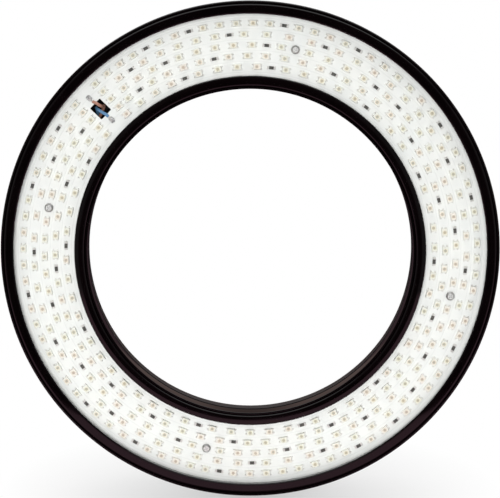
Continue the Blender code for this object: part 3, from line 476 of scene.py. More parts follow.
def settle(name, shape, finishes, *nodes):
    """Make a piece of a shape: it stands for some nodes, and rides where the first one does."""
    piece = as_object(name, shape)
    for finish in finishes:
        piece.data.materials.append(finish.material)
    piece.data.shade_smooth()
    piece.data.set_sharp_from_angle(angle=radians(CREASE))
    even = piece.modifiers.new("even_shading", "WEIGHTED_NORMAL")
    even.keep_sharp = True
    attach(piece, BODY_OF[nodes[0]])
    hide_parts(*nodes)
    print(name, "faces:", len(piece.data.polygons))
    return piece


print("shaping tools ready")

# %% [markdown]
# ## The lights, the floor and the white ground
# The photograph was taken on pure white. The lip's flat faces stay almost black because they
# mirror a dark room behind the camera, and only their lowest arc mirrors the table. So the world
# is three things at once: white to the camera, an even light for the parts that is weaker from
# the front, and a small room for mirrored rays, with a pale ceiling, a dim warm wall behind that is
# darker in its middle, and darkness in front. The floor keeps the lamp's shadow near the foot and
# fades to white farther out.

# %% Floor, world and lamps
WHITE = (1.0, 1.0, 1.0, 1.0)
FLOOR_FRONT = -0.272
FLOOR_BACK = 2.2
FLOOR_HALF_WIDTH = 2.0
FLOOR_DROP = 0.1 * MM
SHADOW_REACH = (0.02, 0.13)
SHADOW_GLOW = 0.45
FLOOR_MIRRORED = (0.52, 0.3, 0.37, 1.0)
WARM_WALL = (1.0, 0.73, 0.67, 1.0)
WALL_MIDDLE, WALL_SIDES, WALL_SPREAD = 0.075, 0.15, 0.004
CEILING_LIGHT, SIDE_LIGHT, FRONT_LIGHT = 1.1, 0.2, 0.01
EVEN_FRONT, EVEN_BEHIND = 0.15, 0.5
# How far in front of the ring the painted shadow in the floor's mirrored glow fades out, and how dim
# that glow is inside it
RING_SHADE = (0.068, 0.085)
SHADE_LIGHT = 0.1


def ray_kinds(tree):
    """A signal that is 1 for rays from the camera, and one for mirrored rays."""
    return [add_node(tree, "ShaderNodeLightPath", output=kind)
            for kind in ("Is Camera Ray", "Is Glossy Ray")]


def add_floor():
    shape = bmesh.new()
    corners = [(-FLOOR_HALF_WIDTH, FLOOR_FRONT), (FLOOR_HALF_WIDTH, FLOOR_FRONT),
               (FLOOR_HALF_WIDTH, FLOOR_BACK), (-FLOOR_HALF_WIDTH, FLOOR_BACK)]
    level = CAD_BOX[0][2] - FLOOR_DROP
    shape.faces.new([shape.verts.new((x, y, level)) for x, y in corners])
    floor = as_object("floor", shape)
    finish = Finish("floor_white", (0.9, 0.9, 0.9), 0.9)
    to_camera, mirrored = ray_kinds(finish.tree)
    glow = finish.axial((0, 0, 0), "Z").span(*SHADOW_REACH, SHADOW_GLOW, 1.0)
    # Seen in reflections the floor is a dim warm glow, and this glow is painted darker close to the
    # ring: a painted shadow of the ring, which the lowest arc of the lips mirrors.
    glow_with_painted_shadow = (finish.place.part("Y") * -1).span(*RING_SHADE, SHADE_LIGHT, 1.0)
    shown = Signal(finish.shader.outputs[0])
    for share, color, strength in ((to_camera * glow, WHITE, 1.0),
                                   (mirrored, FLOOR_MIRRORED, glow_with_painted_shadow)):
        light = add_node(finish.tree, "ShaderNodeEmission", {},
                         {"Color": color, "Strength": strength})
        shown = add_node(finish.tree, "ShaderNodeMixShader", {}, {0: share, 1: shown, 2: light})
    finish.tree.links.new(shown.socket, finish.tree.nodes["Material Output"].inputs["Surface"])
    floor.data.materials.append(finish.material)


def add_world():
    world = bpy.data.worlds.new("studio")
    bpy.context.scene.world = world
    world.use_nodes = True
    tree = world.node_tree
    background = tree.nodes["Background"]
    to_camera, mirrored = ray_kinds(tree)
    way = add_node(tree, "ShaderNodeTexCoord", output="Generated")
    wall = way.part("Y").span(-0.1, 0.2)
    ceiling = (way.part("Z") + way.part("Y") * 0.2).span(0.6, 0.8)
    sides = way.part("X") * way.part("X")
    wall_light = sides.span(0.0, WALL_SPREAD, WALL_MIDDLE, WALL_SIDES)
    room = wall * wall_light + ceiling * CEILING_LIGHT + sides * SIDE_LIGHT + FRONT_LIGHT
    even = way.part("Y").span(-0.3, 0.1, EVEN_FRONT, EVEN_BEHIND)
    strength = to_camera + (1 - to_camera) * (mirrored * room + (1 - mirrored) * even)
    tree.links.new(strength.socket, background.inputs["Strength"])
    warmth = mirrored * wall * (1 - ceiling)
    tint = add_node(tree, "ShaderNodeMix", {"data_type": "RGBA"},
                    {0: warmth, 6: WHITE, 7: WARM_WALL}, output=2)
    tree.links.new(tint.socket, background.inputs["Color"])


def add_softbox(name, place, aim, size, power):
    light = bpy.data.lights.new(name, "AREA")
    light.shape = "RECTANGLE"
    light.size, light.size_y = size
    light.energy = power
    lamp = bpy.data.objects.new(name, light)
    lamp.location = place
    lamp.rotation_euler = (Vector(aim) - Vector(place)).to_track_quat("-Z", "Y").to_euler()
    lamp.visible_glossy = False
    bpy.context.scene.collection.objects.link(lamp)


add_floor()
add_world()
add_softbox("overhead_softbox", (0, -0.36, 1.3), (0, -0.1, 0.1), (1.1, 0.5), 7)
add_softbox("front_softbox", (-0.15, -1.6, 0.2), CENTRE, (0.9, 0.9), 18.5)
add_softbox("left_softbox", (-0.85, -0.2, 0.32), (0, -0.1, 0.2), (0.5, 0.6), 1.2)
add_softbox("right_softbox", (0.85, -0.2, 0.32), (0, -0.1, 0.2), (0.5, 0.6), 2.6)
print("lamps:", len(bpy.data.lights))

# %% [markdown]
# ## Black plastics
# The bezels and the front shell are piano black with a faint brown-purple tint, polished but not
# perfect: fine hairlines and a very slight waviness break up the reflections. The rear shell and
# the cover have the fine spark-eroded texture that hides fingerprints.

# %% Black finishes
GLOSS_BLACK = (0.0010, 0.0003, 0.0005)
GLOSS_TINT = (0.0022, 0.0008, 0.0012)
SATIN_BLACK = (0.012, 0.0105, 0.0115)


def gloss_black(name, centre):
    finish = Finish(name, GLOSS_BLACK, 0.09)
    from_axis = finish.axial(centre)
    hairlines = finish.noise(0.12 * MM, 1.0, add_ring_place(finish, from_axis))
    smudges = finish.noise(18 * MM, 3.0)
    finish.put("Roughness", smudges.span(0.35, 0.7, 0.07, 0.14) + hairlines.span(0.6, 0.8) * 0.05)
    finish.put("Base Color", finish.mix(smudges.span(0.3, 0.7), GLOSS_BLACK, GLOSS_TINT))
    finish.bump(finish.noise(9 * MM, 2.0), 0.02 * MM, 0.25)
    return finish


def add_ring_place(finish, from_axis):
    """A place that changes fast across the ring's radius and slowly round it."""
    slow = finish.moved(CENTRE, (0.02, 1, 0.02))
    return add_node(finish.tree, "ShaderNodeCombineXYZ", {},
                    {"X": from_axis, "Y": slow.part("Y"), "Z": slow.part("X") + slow.part("Z")})


def satin(name, color):
    return worn(name, (color, scaled(color, 1.5)), (30, 4.0), (0.25, 2.0), (0.38, 0.06, 0.12),
                (0.03, 0.6))


GLOSS = gloss_black("gloss_black", CENTRE)
SATIN = satin("satin_black", SATIN_BLACK)
print("black finishes:", GLOSS.material.name, SATIN.material.name)

# %% [markdown]
# ## The two bezels
# Each lip is one turned ring. Towards the window it slopes off, a little on the outer lip and
# more on the inner one, and then a wall goes down to the board; its other edge is rounded. These
# slopes and rounds draw the light lines on the lips, so they are modelled and not left to the
# material.

# %% Bezels
LIP_ROUND = 1.5 * MM
BEZEL_THICKNESS = 2.1 * MM


def add_bezel(name, window, lip, skirt, edge, slope, drop, ease):
    """A lip from the window to its far edge; its slope is so wide and drops so much."""
    wards = 1 if lip > window else -1
    end = depths(name)[1]
    profile = [(edge, drop, ease), (edge + wards * slope, 0, 2 * ease), (lip, 0, LIP_ROUND),
               (lip, BEZEL_THICKNESS), (skirt, BEZEL_THICKNESS), (skirt, end), (window, end)]
    settle(name + "_moulding", lathe(rounded(profile, 6), RING_AXIS, RING_STEPS), [GLOSS], name)


SHELL_WALL = 2.4 * MM
WALL_OUT, WALL_IN = OUTER - SHELL_WALL, LIP_INNER + SHELL_WALL
add_bezel("outer_bezel", WINDOW_OUTER, LIP_OUTER, WALL_OUT - GAP, WINDOW_OUTER - 0.4 * MM,
          0.6 * MM, 0.5 * MM, 0.25 * MM)
add_bezel("inner_bezel", WINDOW_INNER, LIP_INNER, WALL_IN + GAP, WINDOW_INNER + 0.3 * MM,
          2.2 * MM, 0.9 * MM, 0.9 * MM)

# %% [markdown]
# ## The front shell
# The tray behind the lips shows as a thin rim on both sides of them and as the front half of
# the bore, which widens a little towards the back. The tray is cut back at its seam in the bore,
# so that the seam reads as a groove. The deck carries the board, on bosses with pilot holes.

# %% Front shell
RIM_ROUND = 0.95 * MM
EDGE_EASE = 0.25 * MM
RIM_SETBACK = 0.6 * MM
SEAM_CUT = (0.5 * MM, 2.0 * MM)
SHELL_PLATE = 2.0 * MM
BOSS_RADIUS, BOSS_LENGTH = 3.0 * MM, 3.6 * MM
PILLAR_RADIUS = 3.5 * MM
SCREW_HOLE = 1.4 * MM
PILOT_SPARE = 0.5 * MM
BOARD_SCREWS = [f"board_screw_{index}" for index in range(1, 5)]
SHELL_SCREWS = [f"shell_screw_{index}" for index in range(1, 7)]
COVER_SCREWS = [f"cover_screw_{index}" for index in range(1, 5)]
BRACKET_SCREWS = [f"bracket_screw_{index}" for index in range(1, 3)]


def pegs(nodes, radius, low, high, steps=24):
    """Round bars along the depth at the places of some nodes."""
    shape = bmesh.new()
    for node in nodes:
        spot = middle(node)
        centre = Vector((spot.x, CENTRE.y + (low + high) / 2, spot.z))
        bmesh.ops.create_cone(shape, cap_ends=True, segments=steps, radius1=radius,
                              radius2=radius, depth=high - low, matrix=along_depth(centre))
    return shape


SLOT_ANGLE = 136.1
SLOT_SIZE, SLOT_CORNER = (7.6 * MM, 6.7 * MM), 0.4 * MM
SLOT_MIDDLE = WINDOW_INNER + 0.497 * (WINDOW_OUTER - WINDOW_INNER)
SLOT_PLACE = RING_AXIS @ Matrix.Rotation(radians(-SLOT_ANGLE), 4, "Z")


def slot_bar(low, high):
    return slab(rectangle(*SLOT_SIZE, SLOT_CORNER, (SLOT_MIDDLE, 0)), low, high, SLOT_PLACE)


def add_front_shell():
    seam = depths("rear_shell")[0] - GAP
    outer_rim, inner_rim = LIP_OUTER + GAP, LIP_INNER - GAP
    step = BEZEL_THICKNESS + GAP
    deck = BOARD_BACK + GAP
    under = deck + SHELL_PLATE
    cut, cut_length = SEAM_CUT
    profile = [(OUTER, seam, EDGE_EASE), (OUTER, RIM_SETBACK, RIM_ROUND),
               (outer_rim, RIM_SETBACK, 0.1 * MM), (outer_rim, step), (WALL_OUT, step),
               (WALL_OUT, deck), (WALL_IN, deck), (WALL_IN, step), (inner_rim, step),
               (inner_rim, RIM_SETBACK, 0.1 * MM), (RIM_BORE, RIM_SETBACK, 0.35 * MM),
               (SEAM_BORE, seam - cut_length), (SEAM_BORE + cut, seam), (WALL_IN, seam),
               (WALL_IN, under), (WALL_OUT, under), (WALL_OUT, seam)]
    shell = lathe(rounded(profile), RING_AXIS, RING_STEPS)
    pillar_end = depths("front_shell")[1]
    bosses = pegs(BOARD_SCREWS, BOSS_RADIUS, deck + MM, under + BOSS_LENGTH)
    pillars = pegs(SHELL_SCREWS, PILLAR_RADIUS, deck + MM, pillar_end)
    shell = combine(shell, [bosses, pillars], "UNION")
    pilots = pegs(BOARD_SCREWS, SCREW_HOLE, deck - MM, depths("board_screw_1")[1] + PILOT_SPARE)
    shell_pilots = pegs(SHELL_SCREWS, SCREW_HOLE, depths("shell_screw_1")[0] - PILOT_SPARE,
                        pillar_end + MM)
    shell = combine(shell, [pilots, shell_pilots, slot_bar(deck - MM, under + MM)])
    settle("front_shell_moulding", shell, [GLOSS], "front_shell")


add_front_shell()

# %% [markdown]
# ## The LED board
# A glass-fibre ring under white solder mask. The mask lies over wide copper tracks, so the board
# shows faint circular steps between the rows, which a bump on the distance from the axis gives.
# The wire slot and the screw holes go right through, and two bare pads wait for the wires.

# %% Board
BOARD_WHITE = (0.86, 0.87, 0.84)
TRACK_PITCH = 5.13 * MM
FIRST_TRACK = WINDOW_INNER + 1.9 * MM
BOARD_EASE = 0.15 * MM


def board_white():
    finish = Finish("board_white", BOARD_WHITE, 0.32)
    from_axis = finish.axial(CENTRE)
    beat = ((from_axis - FIRST_TRACK) / TRACK_PITCH).math("FRACT")
    gap_line = beat.math("PINGPONG", 0.5).span(0.0, 0.06, 1.0, 0.0)
    cloud = finish.noise(14 * MM, 3.0)
    weave = finish.noise(0.5 * MM, 1.0)
    plain = finish.mix(cloud.span(0.3, 0.7), BOARD_WHITE, (0.83, 0.85, 0.83))
    finish.put("Base Color", finish.mix(gap_line * 0.5, plain, (0.70, 0.72, 0.70)))
    finish.put("Roughness", 0.28 + weave * 0.12)
    finish.bump(1 - gap_line + weave * 0.1, 0.03 * MM)
    return finish


def glass_fibre():
    finish = Finish("glass_fibre", (0.52, 0.5, 0.3), 0.6)
    layers = finish.noise(0.25 * MM, 2.0, finish.moved(stretch=(0.02, 1, 0.02)))
    finish.put("Base Color", finish.mix(layers, (0.42, 0.42, 0.22), (0.6, 0.58, 0.38)))
    return finish


def tin(name, color, roughness, metallic):
    finish = Finish(name, color, roughness, metallic)
    flow = finish.noise(0.6 * MM, 3.0)
    finish.put("Roughness", flow.span(0.3, 0.7, roughness * 0.7, roughness * 1.6))
    finish.put("Base Color", finish.mix(flow, color, scaled(color, 0.85)))
    finish.bump(flow, 0.02 * MM, 0.5)
    return finish


BOARD = board_white()
FIBRE = glass_fibre()
SOLDER = tin("solder", (0.84, 0.83, 0.8), 0.4, 0.4)


def add_board():
    inner, outer = radii("led_board")
    profile = [(outer, BOARD_BACK), (outer, BOARD_FRONT, BOARD_EASE),
               (inner, BOARD_FRONT, BOARD_EASE), (inner, BOARD_BACK)]
    board = lathe(rounded(profile, 2), RING_AXIS, RING_STEPS)
    holes = pegs(BOARD_SCREWS, SCREW_HOLE, BOARD_FRONT - MM, BOARD_BACK + MM)
    board = combine(board, [holes, slot_bar(BOARD_FRONT - MM, BOARD_BACK + MM)])
    for face in board.faces:
        face.material_index = int(abs(face.normal.y) < 0.5)
    settle("led_circuit_board", board, [BOARD, FIBRE], "led_board")


add_board()

# %% [markdown]
# ## Where the LEDs stand
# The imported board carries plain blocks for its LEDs. The upper face of each block is two right
# triangles, and the middle of a right triangle's longest side is the middle of its rectangle, so
# the places come straight from the solid. Along a row a resistor sits in every wide gap, except
# where a screw or the wire slot takes its place.

# %% LED and resistor places
WIDE_GAP = 12.7 * MM
MARK_REACH = 9.0 * MM


def led_places():
    """Rows of LEDs from the inside out, each a radius and the sorted angles."""
    mesh = NODES["led_board"].data
    top = min(vert.co.y for vert in mesh.vertices)
    centres = set()
    for face in mesh.polygons:
        corners = [mesh.vertices[index].co for index in face.vertices]
        if all(abs(corner.y - top) < WELD for corner in corners):
            sides = zip(corners, corners[1:] + corners[:1])
            start, end = max(sides, key=lambda side: (side[0] - side[1]).length)
            spot = (start + end) / 2 - CENTRE
            centres.add((round(spot.x / MM, 1), round(spot.z / MM, 1)))
    rows = {}
    for x, z in sorted(centres):
        radius = round(hypot(x, z) / TRACK_PITCH * MM)
        angle = degrees(Vector((x, z)).angle_signed(Vector((1, 0)))) % 360
        rows.setdefault(radius, []).append((hypot(x, z) * MM, angle))
    return [(sum(spot[0] for spot in row) / len(row), sorted(spot[1] for spot in row))
            for _, row in sorted(rows.items())]


def resistor_places(rows):
    marks = [middle(node) for node in BOARD_SCREWS] + [ring_point(SLOT_MIDDLE, SLOT_ANGLE, 0)]
    places = []
    for radius, angles in rows:
        for start, end in zip(angles, angles[1:] + [angles[0] + 360]):
            spot = ring_point(radius, (start + end) / 2, 0)
            taken = any(hypot(spot.x - mark.x, spot.z - mark.z) < 3 * MM for mark in marks)
            near_slot = abs((start + end) / 2 - SLOT_ANGLE) < degrees(MARK_REACH / radius)
            if radius * radians(end - start) > WIDE_GAP and not taken and not near_slot:
                places.append((radius, (start + end) / 2))
    return places


ROWS = led_places()
RESISTORS = resistor_places(ROWS)
print("rows:", [(round(radius / MM, 1), len(angles)) for radius, angles in ROWS],
      "resistors:", len(RESISTORS))

# %% [markdown]
# ## The LEDs
# A 3.5 by 2.8 mm package: a white moulding with a round cup, filled with pale yellow phosphor
# gel over a small die, and four tinned terminals. One package is shaped once and copied, and
# every copy keeps a random number on its faces, which the finish turns into a slight tint.

# %% LED package
LED_SIZE = (2.8 * MM, 3.5 * MM, 1.9 * MM)
CUP_RADIUS, CUP_DEPTH = 1.15 * MM, 0.22 * MM
DIE_RADIUS = 0.68 * MM
TERMINAL = (0.75 * MM, 0.95 * MM, 0.5 * MM)
TERMINAL_PLACE = (0.95 * MM, 2.0 * MM)
PHOSPHOR, DIE, METAL = 1, 2, 3
CUP_TAPER, DIE_RISE = 0.92, 0.08 * MM


def block(shape, size, centre, shrink):
    """A box standing on the board, its upper face shrunk towards its middle."""
    made = bmesh.ops.create_cube(shape, size=1.0, matrix=Matrix.Translation(
        (centre[0], centre[1], size[2] / 2)) @ Matrix.Diagonal((*size, 1)))["verts"]
    for vert in made:
        if vert.co.z > size[2] / 2:
            vert.co.x = centre[0] + (vert.co.x - centre[0]) * shrink
            vert.co.y = centre[1] + (vert.co.y - centre[1]) * shrink
    return {face for vert in made for face in vert.link_faces}


def led_package():
    shape = bmesh.new()
    block(shape, LED_SIZE, (0, 0), 0.96)
    soften(shape, at_height(LED_SIZE[2]), 0.15 * MM, 1)
    lid = max(shape.faces, key=lambda face: face.calc_center_median().z)
    rim = list(lid.edges)
    bmesh.ops.delete(shape, geom=[lid], context="FACES_ONLY")
    cup = bmesh.ops.create_circle(shape, segments=12, radius=CUP_RADIUS,
                                  matrix=Matrix.Translation((0, 0, LED_SIZE[2])))["verts"]
    ring = list({edge for vert in cup for edge in vert.link_edges})
    bmesh.ops.bridge_loops(shape, edges=rim + ring)
    sunk = bmesh.ops.extrude_edge_only(shape, edges=ring)["geom"]
    floor_verts = [item for item in sunk if isinstance(item, bmesh.types.BMVert)]
    bmesh.ops.scale(shape, verts=floor_verts, vec=(CUP_TAPER, CUP_TAPER, 1))
    bmesh.ops.translate(shape, verts=floor_verts, vec=(0, 0, -CUP_DEPTH))
    gel_edges = [item for item in sunk if isinstance(item, bmesh.types.BMEdge)
                 and all(vert in floor_verts for vert in item.verts)]
    gel = bmesh.ops.edgeloop_fill(shape, edges=gel_edges)["faces"]
    around = bmesh.ops.inset_region(shape, faces=gel, thickness=CUP_RADIUS * CUP_TAPER - DIE_RADIUS)
    for face in around["faces"]:
        face.material_index = PHOSPHOR
    gel[0].material_index = DIE
    bmesh.ops.translate(shape, verts=gel[0].verts, vec=(0, 0, DIE_RISE))
    for x in (-1, 1):
        for y in (-1, 1):
            place = (x * TERMINAL_PLACE[0], y * TERMINAL_PLACE[1])
            for face in block(shape, TERMINAL, place, 0.7):
                face.material_index = METAL
    bmesh.ops.recalc_face_normals(shape, faces=shape.faces)
    return as_mesh("package", shape)


def on_board(radius, angle):
    """Placement that looks out of the front, its local X pointing away from the axis."""
    turn = Matrix.Rotation(radians(-angle), 4, "Y") @ Matrix.Rotation(pi / 2, 4, "X")
    return Matrix.Translation(ring_point(radius, angle, BOARD_FRONT)) @ turn


def scatter(template, places, seed):
    """Copies of a mesh at some places, each with its own random number on its faces."""
    whole = bmesh.new()
    batch = whole.faces.layers.float.new("batch")
    chance = random.Random(seed)
    for place in places:
        whole.from_mesh(template)
        whole.verts.ensure_lookup_table()
        whole.faces.ensure_lookup_table()
        bmesh.ops.transform(whole, matrix=place, verts=whole.verts[-len(template.vertices):])
        number = chance.random()
        for face in whole.faces[-len(template.polygons):]:
            face[batch] = number
    return whole


PACKAGE = led_package()
print("LED package faces:", len(PACKAGE.polygons))

# %% [markdown]
# ## LED finishes
# Close up, no two LEDs in the picture have quite the same colour: some lean to yellow, some to
# green or pink. The random number on each copy drives that through a colour ramp.

# %% LED pieces


def led_finish(name, colors, roughness):
    """A finish whose colour runs through a list of tints with the copy's random number."""
    finish = Finish(name, colors[0], roughness)
    share = finish.attribute("batch")
    count = len(colors)
    stops = [(index / (count - 1), color) for index, color in enumerate(colors)]
    tint = add_node(finish.tree, "ShaderNodeValToRGB", {"stops": stops}, {0: share})
    haze = finish.noise(0.8 * MM, 2.0)
    finish.put("Base Color", finish.mix(haze * 0.2, tint, (0.7, 0.68, 0.6)))
    finish.put("Roughness", roughness + haze * 0.1)
    return finish


LED_WHITE = led_finish("led_moulding", [(0.8, 0.79, 0.71), (0.78, 0.79, 0.72),
                                        (0.81, 0.76, 0.7)], 0.35)
LED_GEL = led_finish("led_phosphor", [(0.76, 0.7, 0.56), (0.73, 0.72, 0.57), (0.78, 0.68, 0.57),
                                      (0.75, 0.71, 0.61)], 0.25)
LED_DIE = led_finish("led_die", [(0.46, 0.4, 0.29), (0.41, 0.4, 0.32), (0.48, 0.38, 0.31)], 0.3)

LED_PLACES = [on_board(radius, angle) for radius, angles in ROWS for angle in angles]
settle("led_packages", scatter(PACKAGE, LED_PLACES, 7), [LED_WHITE, LED_GEL, LED_DIE, SOLDER],
       "led_board")

# %% [markdown]
# ## The resistors
# Small ceramic blocks in the wide gaps of each row: a dark glazed middle between two tinned
# caps, each cap held by a wedge of solder on its pad.

# %% Resistors
RESISTOR_CORE = (1.5 * MM, 2.2 * MM, 0.6 * MM)
RESISTOR_CAP = (1.62 * MM, 0.5 * MM, 0.66 * MM)
RESISTOR_FILLET = (1.7 * MM, 0.7 * MM, 0.3 * MM)


def resistor():
    shape = bmesh.new()
    block(shape, RESISTOR_CORE, (0, 0), 0.97)
    for side in (-1, 1):
        cap_place = (0, side * (RESISTOR_CORE[1] + RESISTOR_CAP[1]) / 2)
        fillet_place = (0, side * (RESISTOR_CORE[1] / 2 + RESISTOR_CAP[1] + 0.15 * MM))
        for face in block(shape, RESISTOR_CAP, cap_place, 0.93):
            face.material_index = 1
        for face in block(shape, RESISTOR_FILLET, fillet_place, 0.6):
            face.material_index = 1
    return as_mesh("resistor", shape)


CERAMIC = led_finish("resistor_glaze", [(0.012, 0.012, 0.013), (0.02, 0.018, 0.017),
                                        (0.012, 0.011, 0.012)], 0.3)
settle("resistors", scatter(resistor(), [on_board(*place) for place in RESISTORS], 11),
       [CERAMIC, SOLDER], "led_board")

# %% [markdown]
# ## The screws
# Sixteen pan-head screws hold the lamp together. A turned head with a domed top gets a cross
# recess from two crossed wedges, and the shank carries a ridged thread. A screw's three levels
# along Y - top of the head, seat and tip - are read from its imported solid, and they also say
# which way it looks. The faces of a head that look along its axis take a paler, half-metallic
# copy of the zinc, a painted highlight of the front light on the flat top; its flank and the
# recess stay as bright zinc, which mirrors the dark around it.

# %% Screws
SHANK_RADIUS, THREAD_PITCH, THREAD_DEPTH = 1.1 * MM, 0.8 * MM, 0.22 * MM
# How far each head is turned, in degrees per mm along X, so that no two look alike
SCREW_TURN = 7
# Where a head's dome starts, as a share of its height, and the share of its radius left on top
DOME_START, DOME_TOP = 0.4, 0.62
# The recess in shares of the head's radius, and how much of it is left at the bottom
CROSS_LENGTH, CROSS_WIDTH, CROSS_DEPTH, CROSS_TAPER = 1.25, 0.26, 0.7, 0.55


def zinc_steel(name, metallic, dark, light):
    return worn(name, (dark, light), (1.2, 4.0), (0.25, 1.0), (0.2, 0.15, 0.08), (0.01, 0.5),
                metallic)


def shank(tip):
    """Outline of a threaded shank, from its tip up to the seat."""
    count = int((tip - 2 * THREAD_PITCH) / THREAD_PITCH)
    return [(SHANK_RADIUS * 0.6, -tip),
            *ridges(SHANK_RADIUS, THREAD_DEPTH, THREAD_PITCH, THREAD_PITCH - tip, count),
            (SHANK_RADIUS, -THREAD_PITCH / 2), (SHANK_RADIUS, 0)]


def cross_recess(radius, top):
    """Two crossed wedges that narrow towards the bottom of the recess."""
    wedges = []
    for turn in (0, pi / 2):
        wedge = bmesh.new()
        made = bmesh.ops.create_cube(wedge, size=1.0)["verts"]
        for vert in made:
            span = radius * (CROSS_TAPER if vert.co.z < 0 else 1.0)
            vert.co = Vector((vert.co.x * CROSS_LENGTH * span, vert.co.y * CROSS_WIDTH * span,
                              top + (vert.co.z + 0.1) * CROSS_DEPTH * radius))
        bmesh.ops.rotate(wedge, verts=made, cent=(0, 0, 0), matrix=Matrix.Rotation(turn, 3, "Z"))
        wedges.append(wedge)
    return wedges


def add_screw(node):
    levels = sorted({round(vert.co.y, 6) for vert in NODES[node].data.vertices})
    to_front = levels[1] - levels[0] < levels[2] - levels[1]
    seat, head, tip = levels[1], levels[0 if to_front else 2], levels[2 if to_front else 0]
    left, right = ends(node, "x")
    radius, height = (right - left) / 2, abs(head - seat)
    dome = [(radius, 0), (radius, height * DOME_START, 0.15 * MM), (radius * DOME_TOP, height)]
    body = turned(shank(abs(tip - seat)) + dome, Matrix(), 32, 5)
    body = combine(body, cross_recess(radius, height))
    # Faces that look along the axis take the painted highlight, all others the plain zinc
    for face in body.faces:
        face.material_index = int(face.normal.z < 0.9)
    spot = Vector((middle(node).x, seat, middle(node).z))
    place = facing_front(spot) if to_front else along_depth(spot)
    turn = Matrix.Rotation(radians(spot.x / MM * SCREW_TURN), 4, "Z")
    settle(node + "_machined", placed(body, place @ turn), [ZINC_PAINTED_HIGHLIGHT, ZINC], node)


ZINC = zinc_steel("zinc_steel", 1.0, (0.5, 0.5, 0.52), (0.68, 0.68, 0.68))
# A paler, half-metallic copy of the zinc: a painted highlight for the flat tops of screw heads
ZINC_PAINTED_HIGHLIGHT = zinc_steel("zinc_painted_highlight", 0.3, (0.74, 0.74, 0.72), (0.82, 0.82, 0.8))
for screw_node in BOARD_SCREWS + SHELL_SCREWS + COVER_SCREWS + BRACKET_SCREWS:
    add_screw(screw_node)

# %% [markdown]
# ## The two leads
# A red and a blue wire are soldered to bare pads beside the slot, bend over its edge and run to
# the driver board inside the shell. Their route is the one of the solids, drawn as one smooth
# curve with a round section, because a wire never turns a sharp corner.

# %% Leads
LEAD_RADIUS = 0.75 * MM
STRAND_RADIUS = 0.42 * MM
PAD_REACH = 7.2 * MM
PAD_SIZE = (3.4 * MM, 2.4 * MM)
PAD_CORNER, PAD_HEIGHT = 1.1 * MM, 0.05 * MM
BLOB_SIZE = (PAD_SIZE[0] * 0.42, PAD_SIZE[1] * 0.44, 1.15 * MM, 1)
STRIPPED = 2.1 * MM
ROUTE_RADIUS = {1: SLOT_MIDDLE - 5.36 * MM, -1: SLOT_MIDDLE - 7.76 * MM}
LEAD_NODES = {1: "red_lead", -1: "blue_lead"}
LEAD_EXIT_ANGLE = 262.0
SPAN_STEPS = 6
# The run round the shell: its depth behind the board, the degrees from the slot to its start and
# from its end to the exit, and its number of stretches
RUN_DEPTH, RUN_START, RUN_STEPS = 5.6 * MM, 8, 12

# Through the slot, in mm: away from the ring's axis, along the row, and below the board's face
SLOT_ROUTES = {1: ((3.7, -0.6, -0.95), (2.0, -0.9, -0.3), (0.9, -1.1, 1.0), (0.3, -1.3, 2.8),
                   (-0.2, -1.4, 4.8)),
               -1: ((-3.7, 0.0, -0.95), (-1.9, 0.5, -0.4), (-0.2, 0.9, 0.3), (1.0, 1.2, 1.6),
                    (1.5, 1.4, 3.2), (1.6, 1.6, 5.0))}

# How much deeper each lead runs just after the slot, where the blue one crosses behind the red
CROSSING = {1: (0.0, 0.0), -1: (3.2, 1.2)}


def lead_finish(name, color):
    return worn(name, (color, scaled(color, 0.85, 0.06)), (3, 3.0), (0.7, 1.0), (0.3, 0.15, 0.0),
                (0.02, 0.5), coat_weight=0.2)


def lead_route(side):
    """Points of one lead: from its pad over the slot's edge and round to the driver board."""
    end_angle = LEAD_EXIT_ANGLE - side * 0.75
    route = ROUTE_RADIUS[side]
    above = BOARD_FRONT - LEAD_RADIUS
    below = BOARD_BACK + RUN_DEPTH
    exit_radius = (route + ROUTE_RADIUS[1]) / 2
    points = [(SLOT_MIDDLE + side * PAD_REACH, 0, BOARD_FRONT - 0.5 * MM),
              (SLOT_MIDDLE + side * (PAD_REACH - STRIPPED), 0, above)]
    points += [(SLOT_MIDDLE + out * MM, degrees(along * MM / SLOT_MIDDLE), BOARD_FRONT + deep * MM)
               for out, along, deep in SLOT_ROUTES[side]]
    first, second = (deeper * MM for deeper in CROSSING[side])
    points.append(((points[-1][0] + route) / 2, 3.5, below + first))
    turn = end_angle - SLOT_ANGLE
    sweep = turn - 2 * RUN_START
    points.append((route, RUN_START, below + second))
    points += [(route, RUN_START + sweep * step / RUN_STEPS, below)
               for step in range(1, RUN_STEPS + 1)]
    points += [(exit_radius, turn - 1.2, below + 4 * MM), (exit_radius, turn, RING_DEPTH - MM),
               (exit_radius, turn, depths("red_lead")[1])]
    return [ring_point(radius, SLOT_ANGLE + angle, depth) for radius, angle, depth in points]


def smooth_points(points):
    """Catmull-Rom curve through the points."""
    line = [points[0] * 2 - points[1], *points, points[-1] * 2 - points[-2]]
    curve = []
    for first, second, third, fourth in zip(line, line[1:], line[2:], line[3:]):
        for step in range(SPAN_STEPS):
            t = step / SPAN_STEPS
            curve.append((second * 2 + (third - first) * t
                          + (first * 2 - second * 5 + third * 4 - fourth) * t ** 2
                          + (second * 3 - first - third * 3 + fourth) * t ** 3) / 2)
    return curve + [points[-1]]


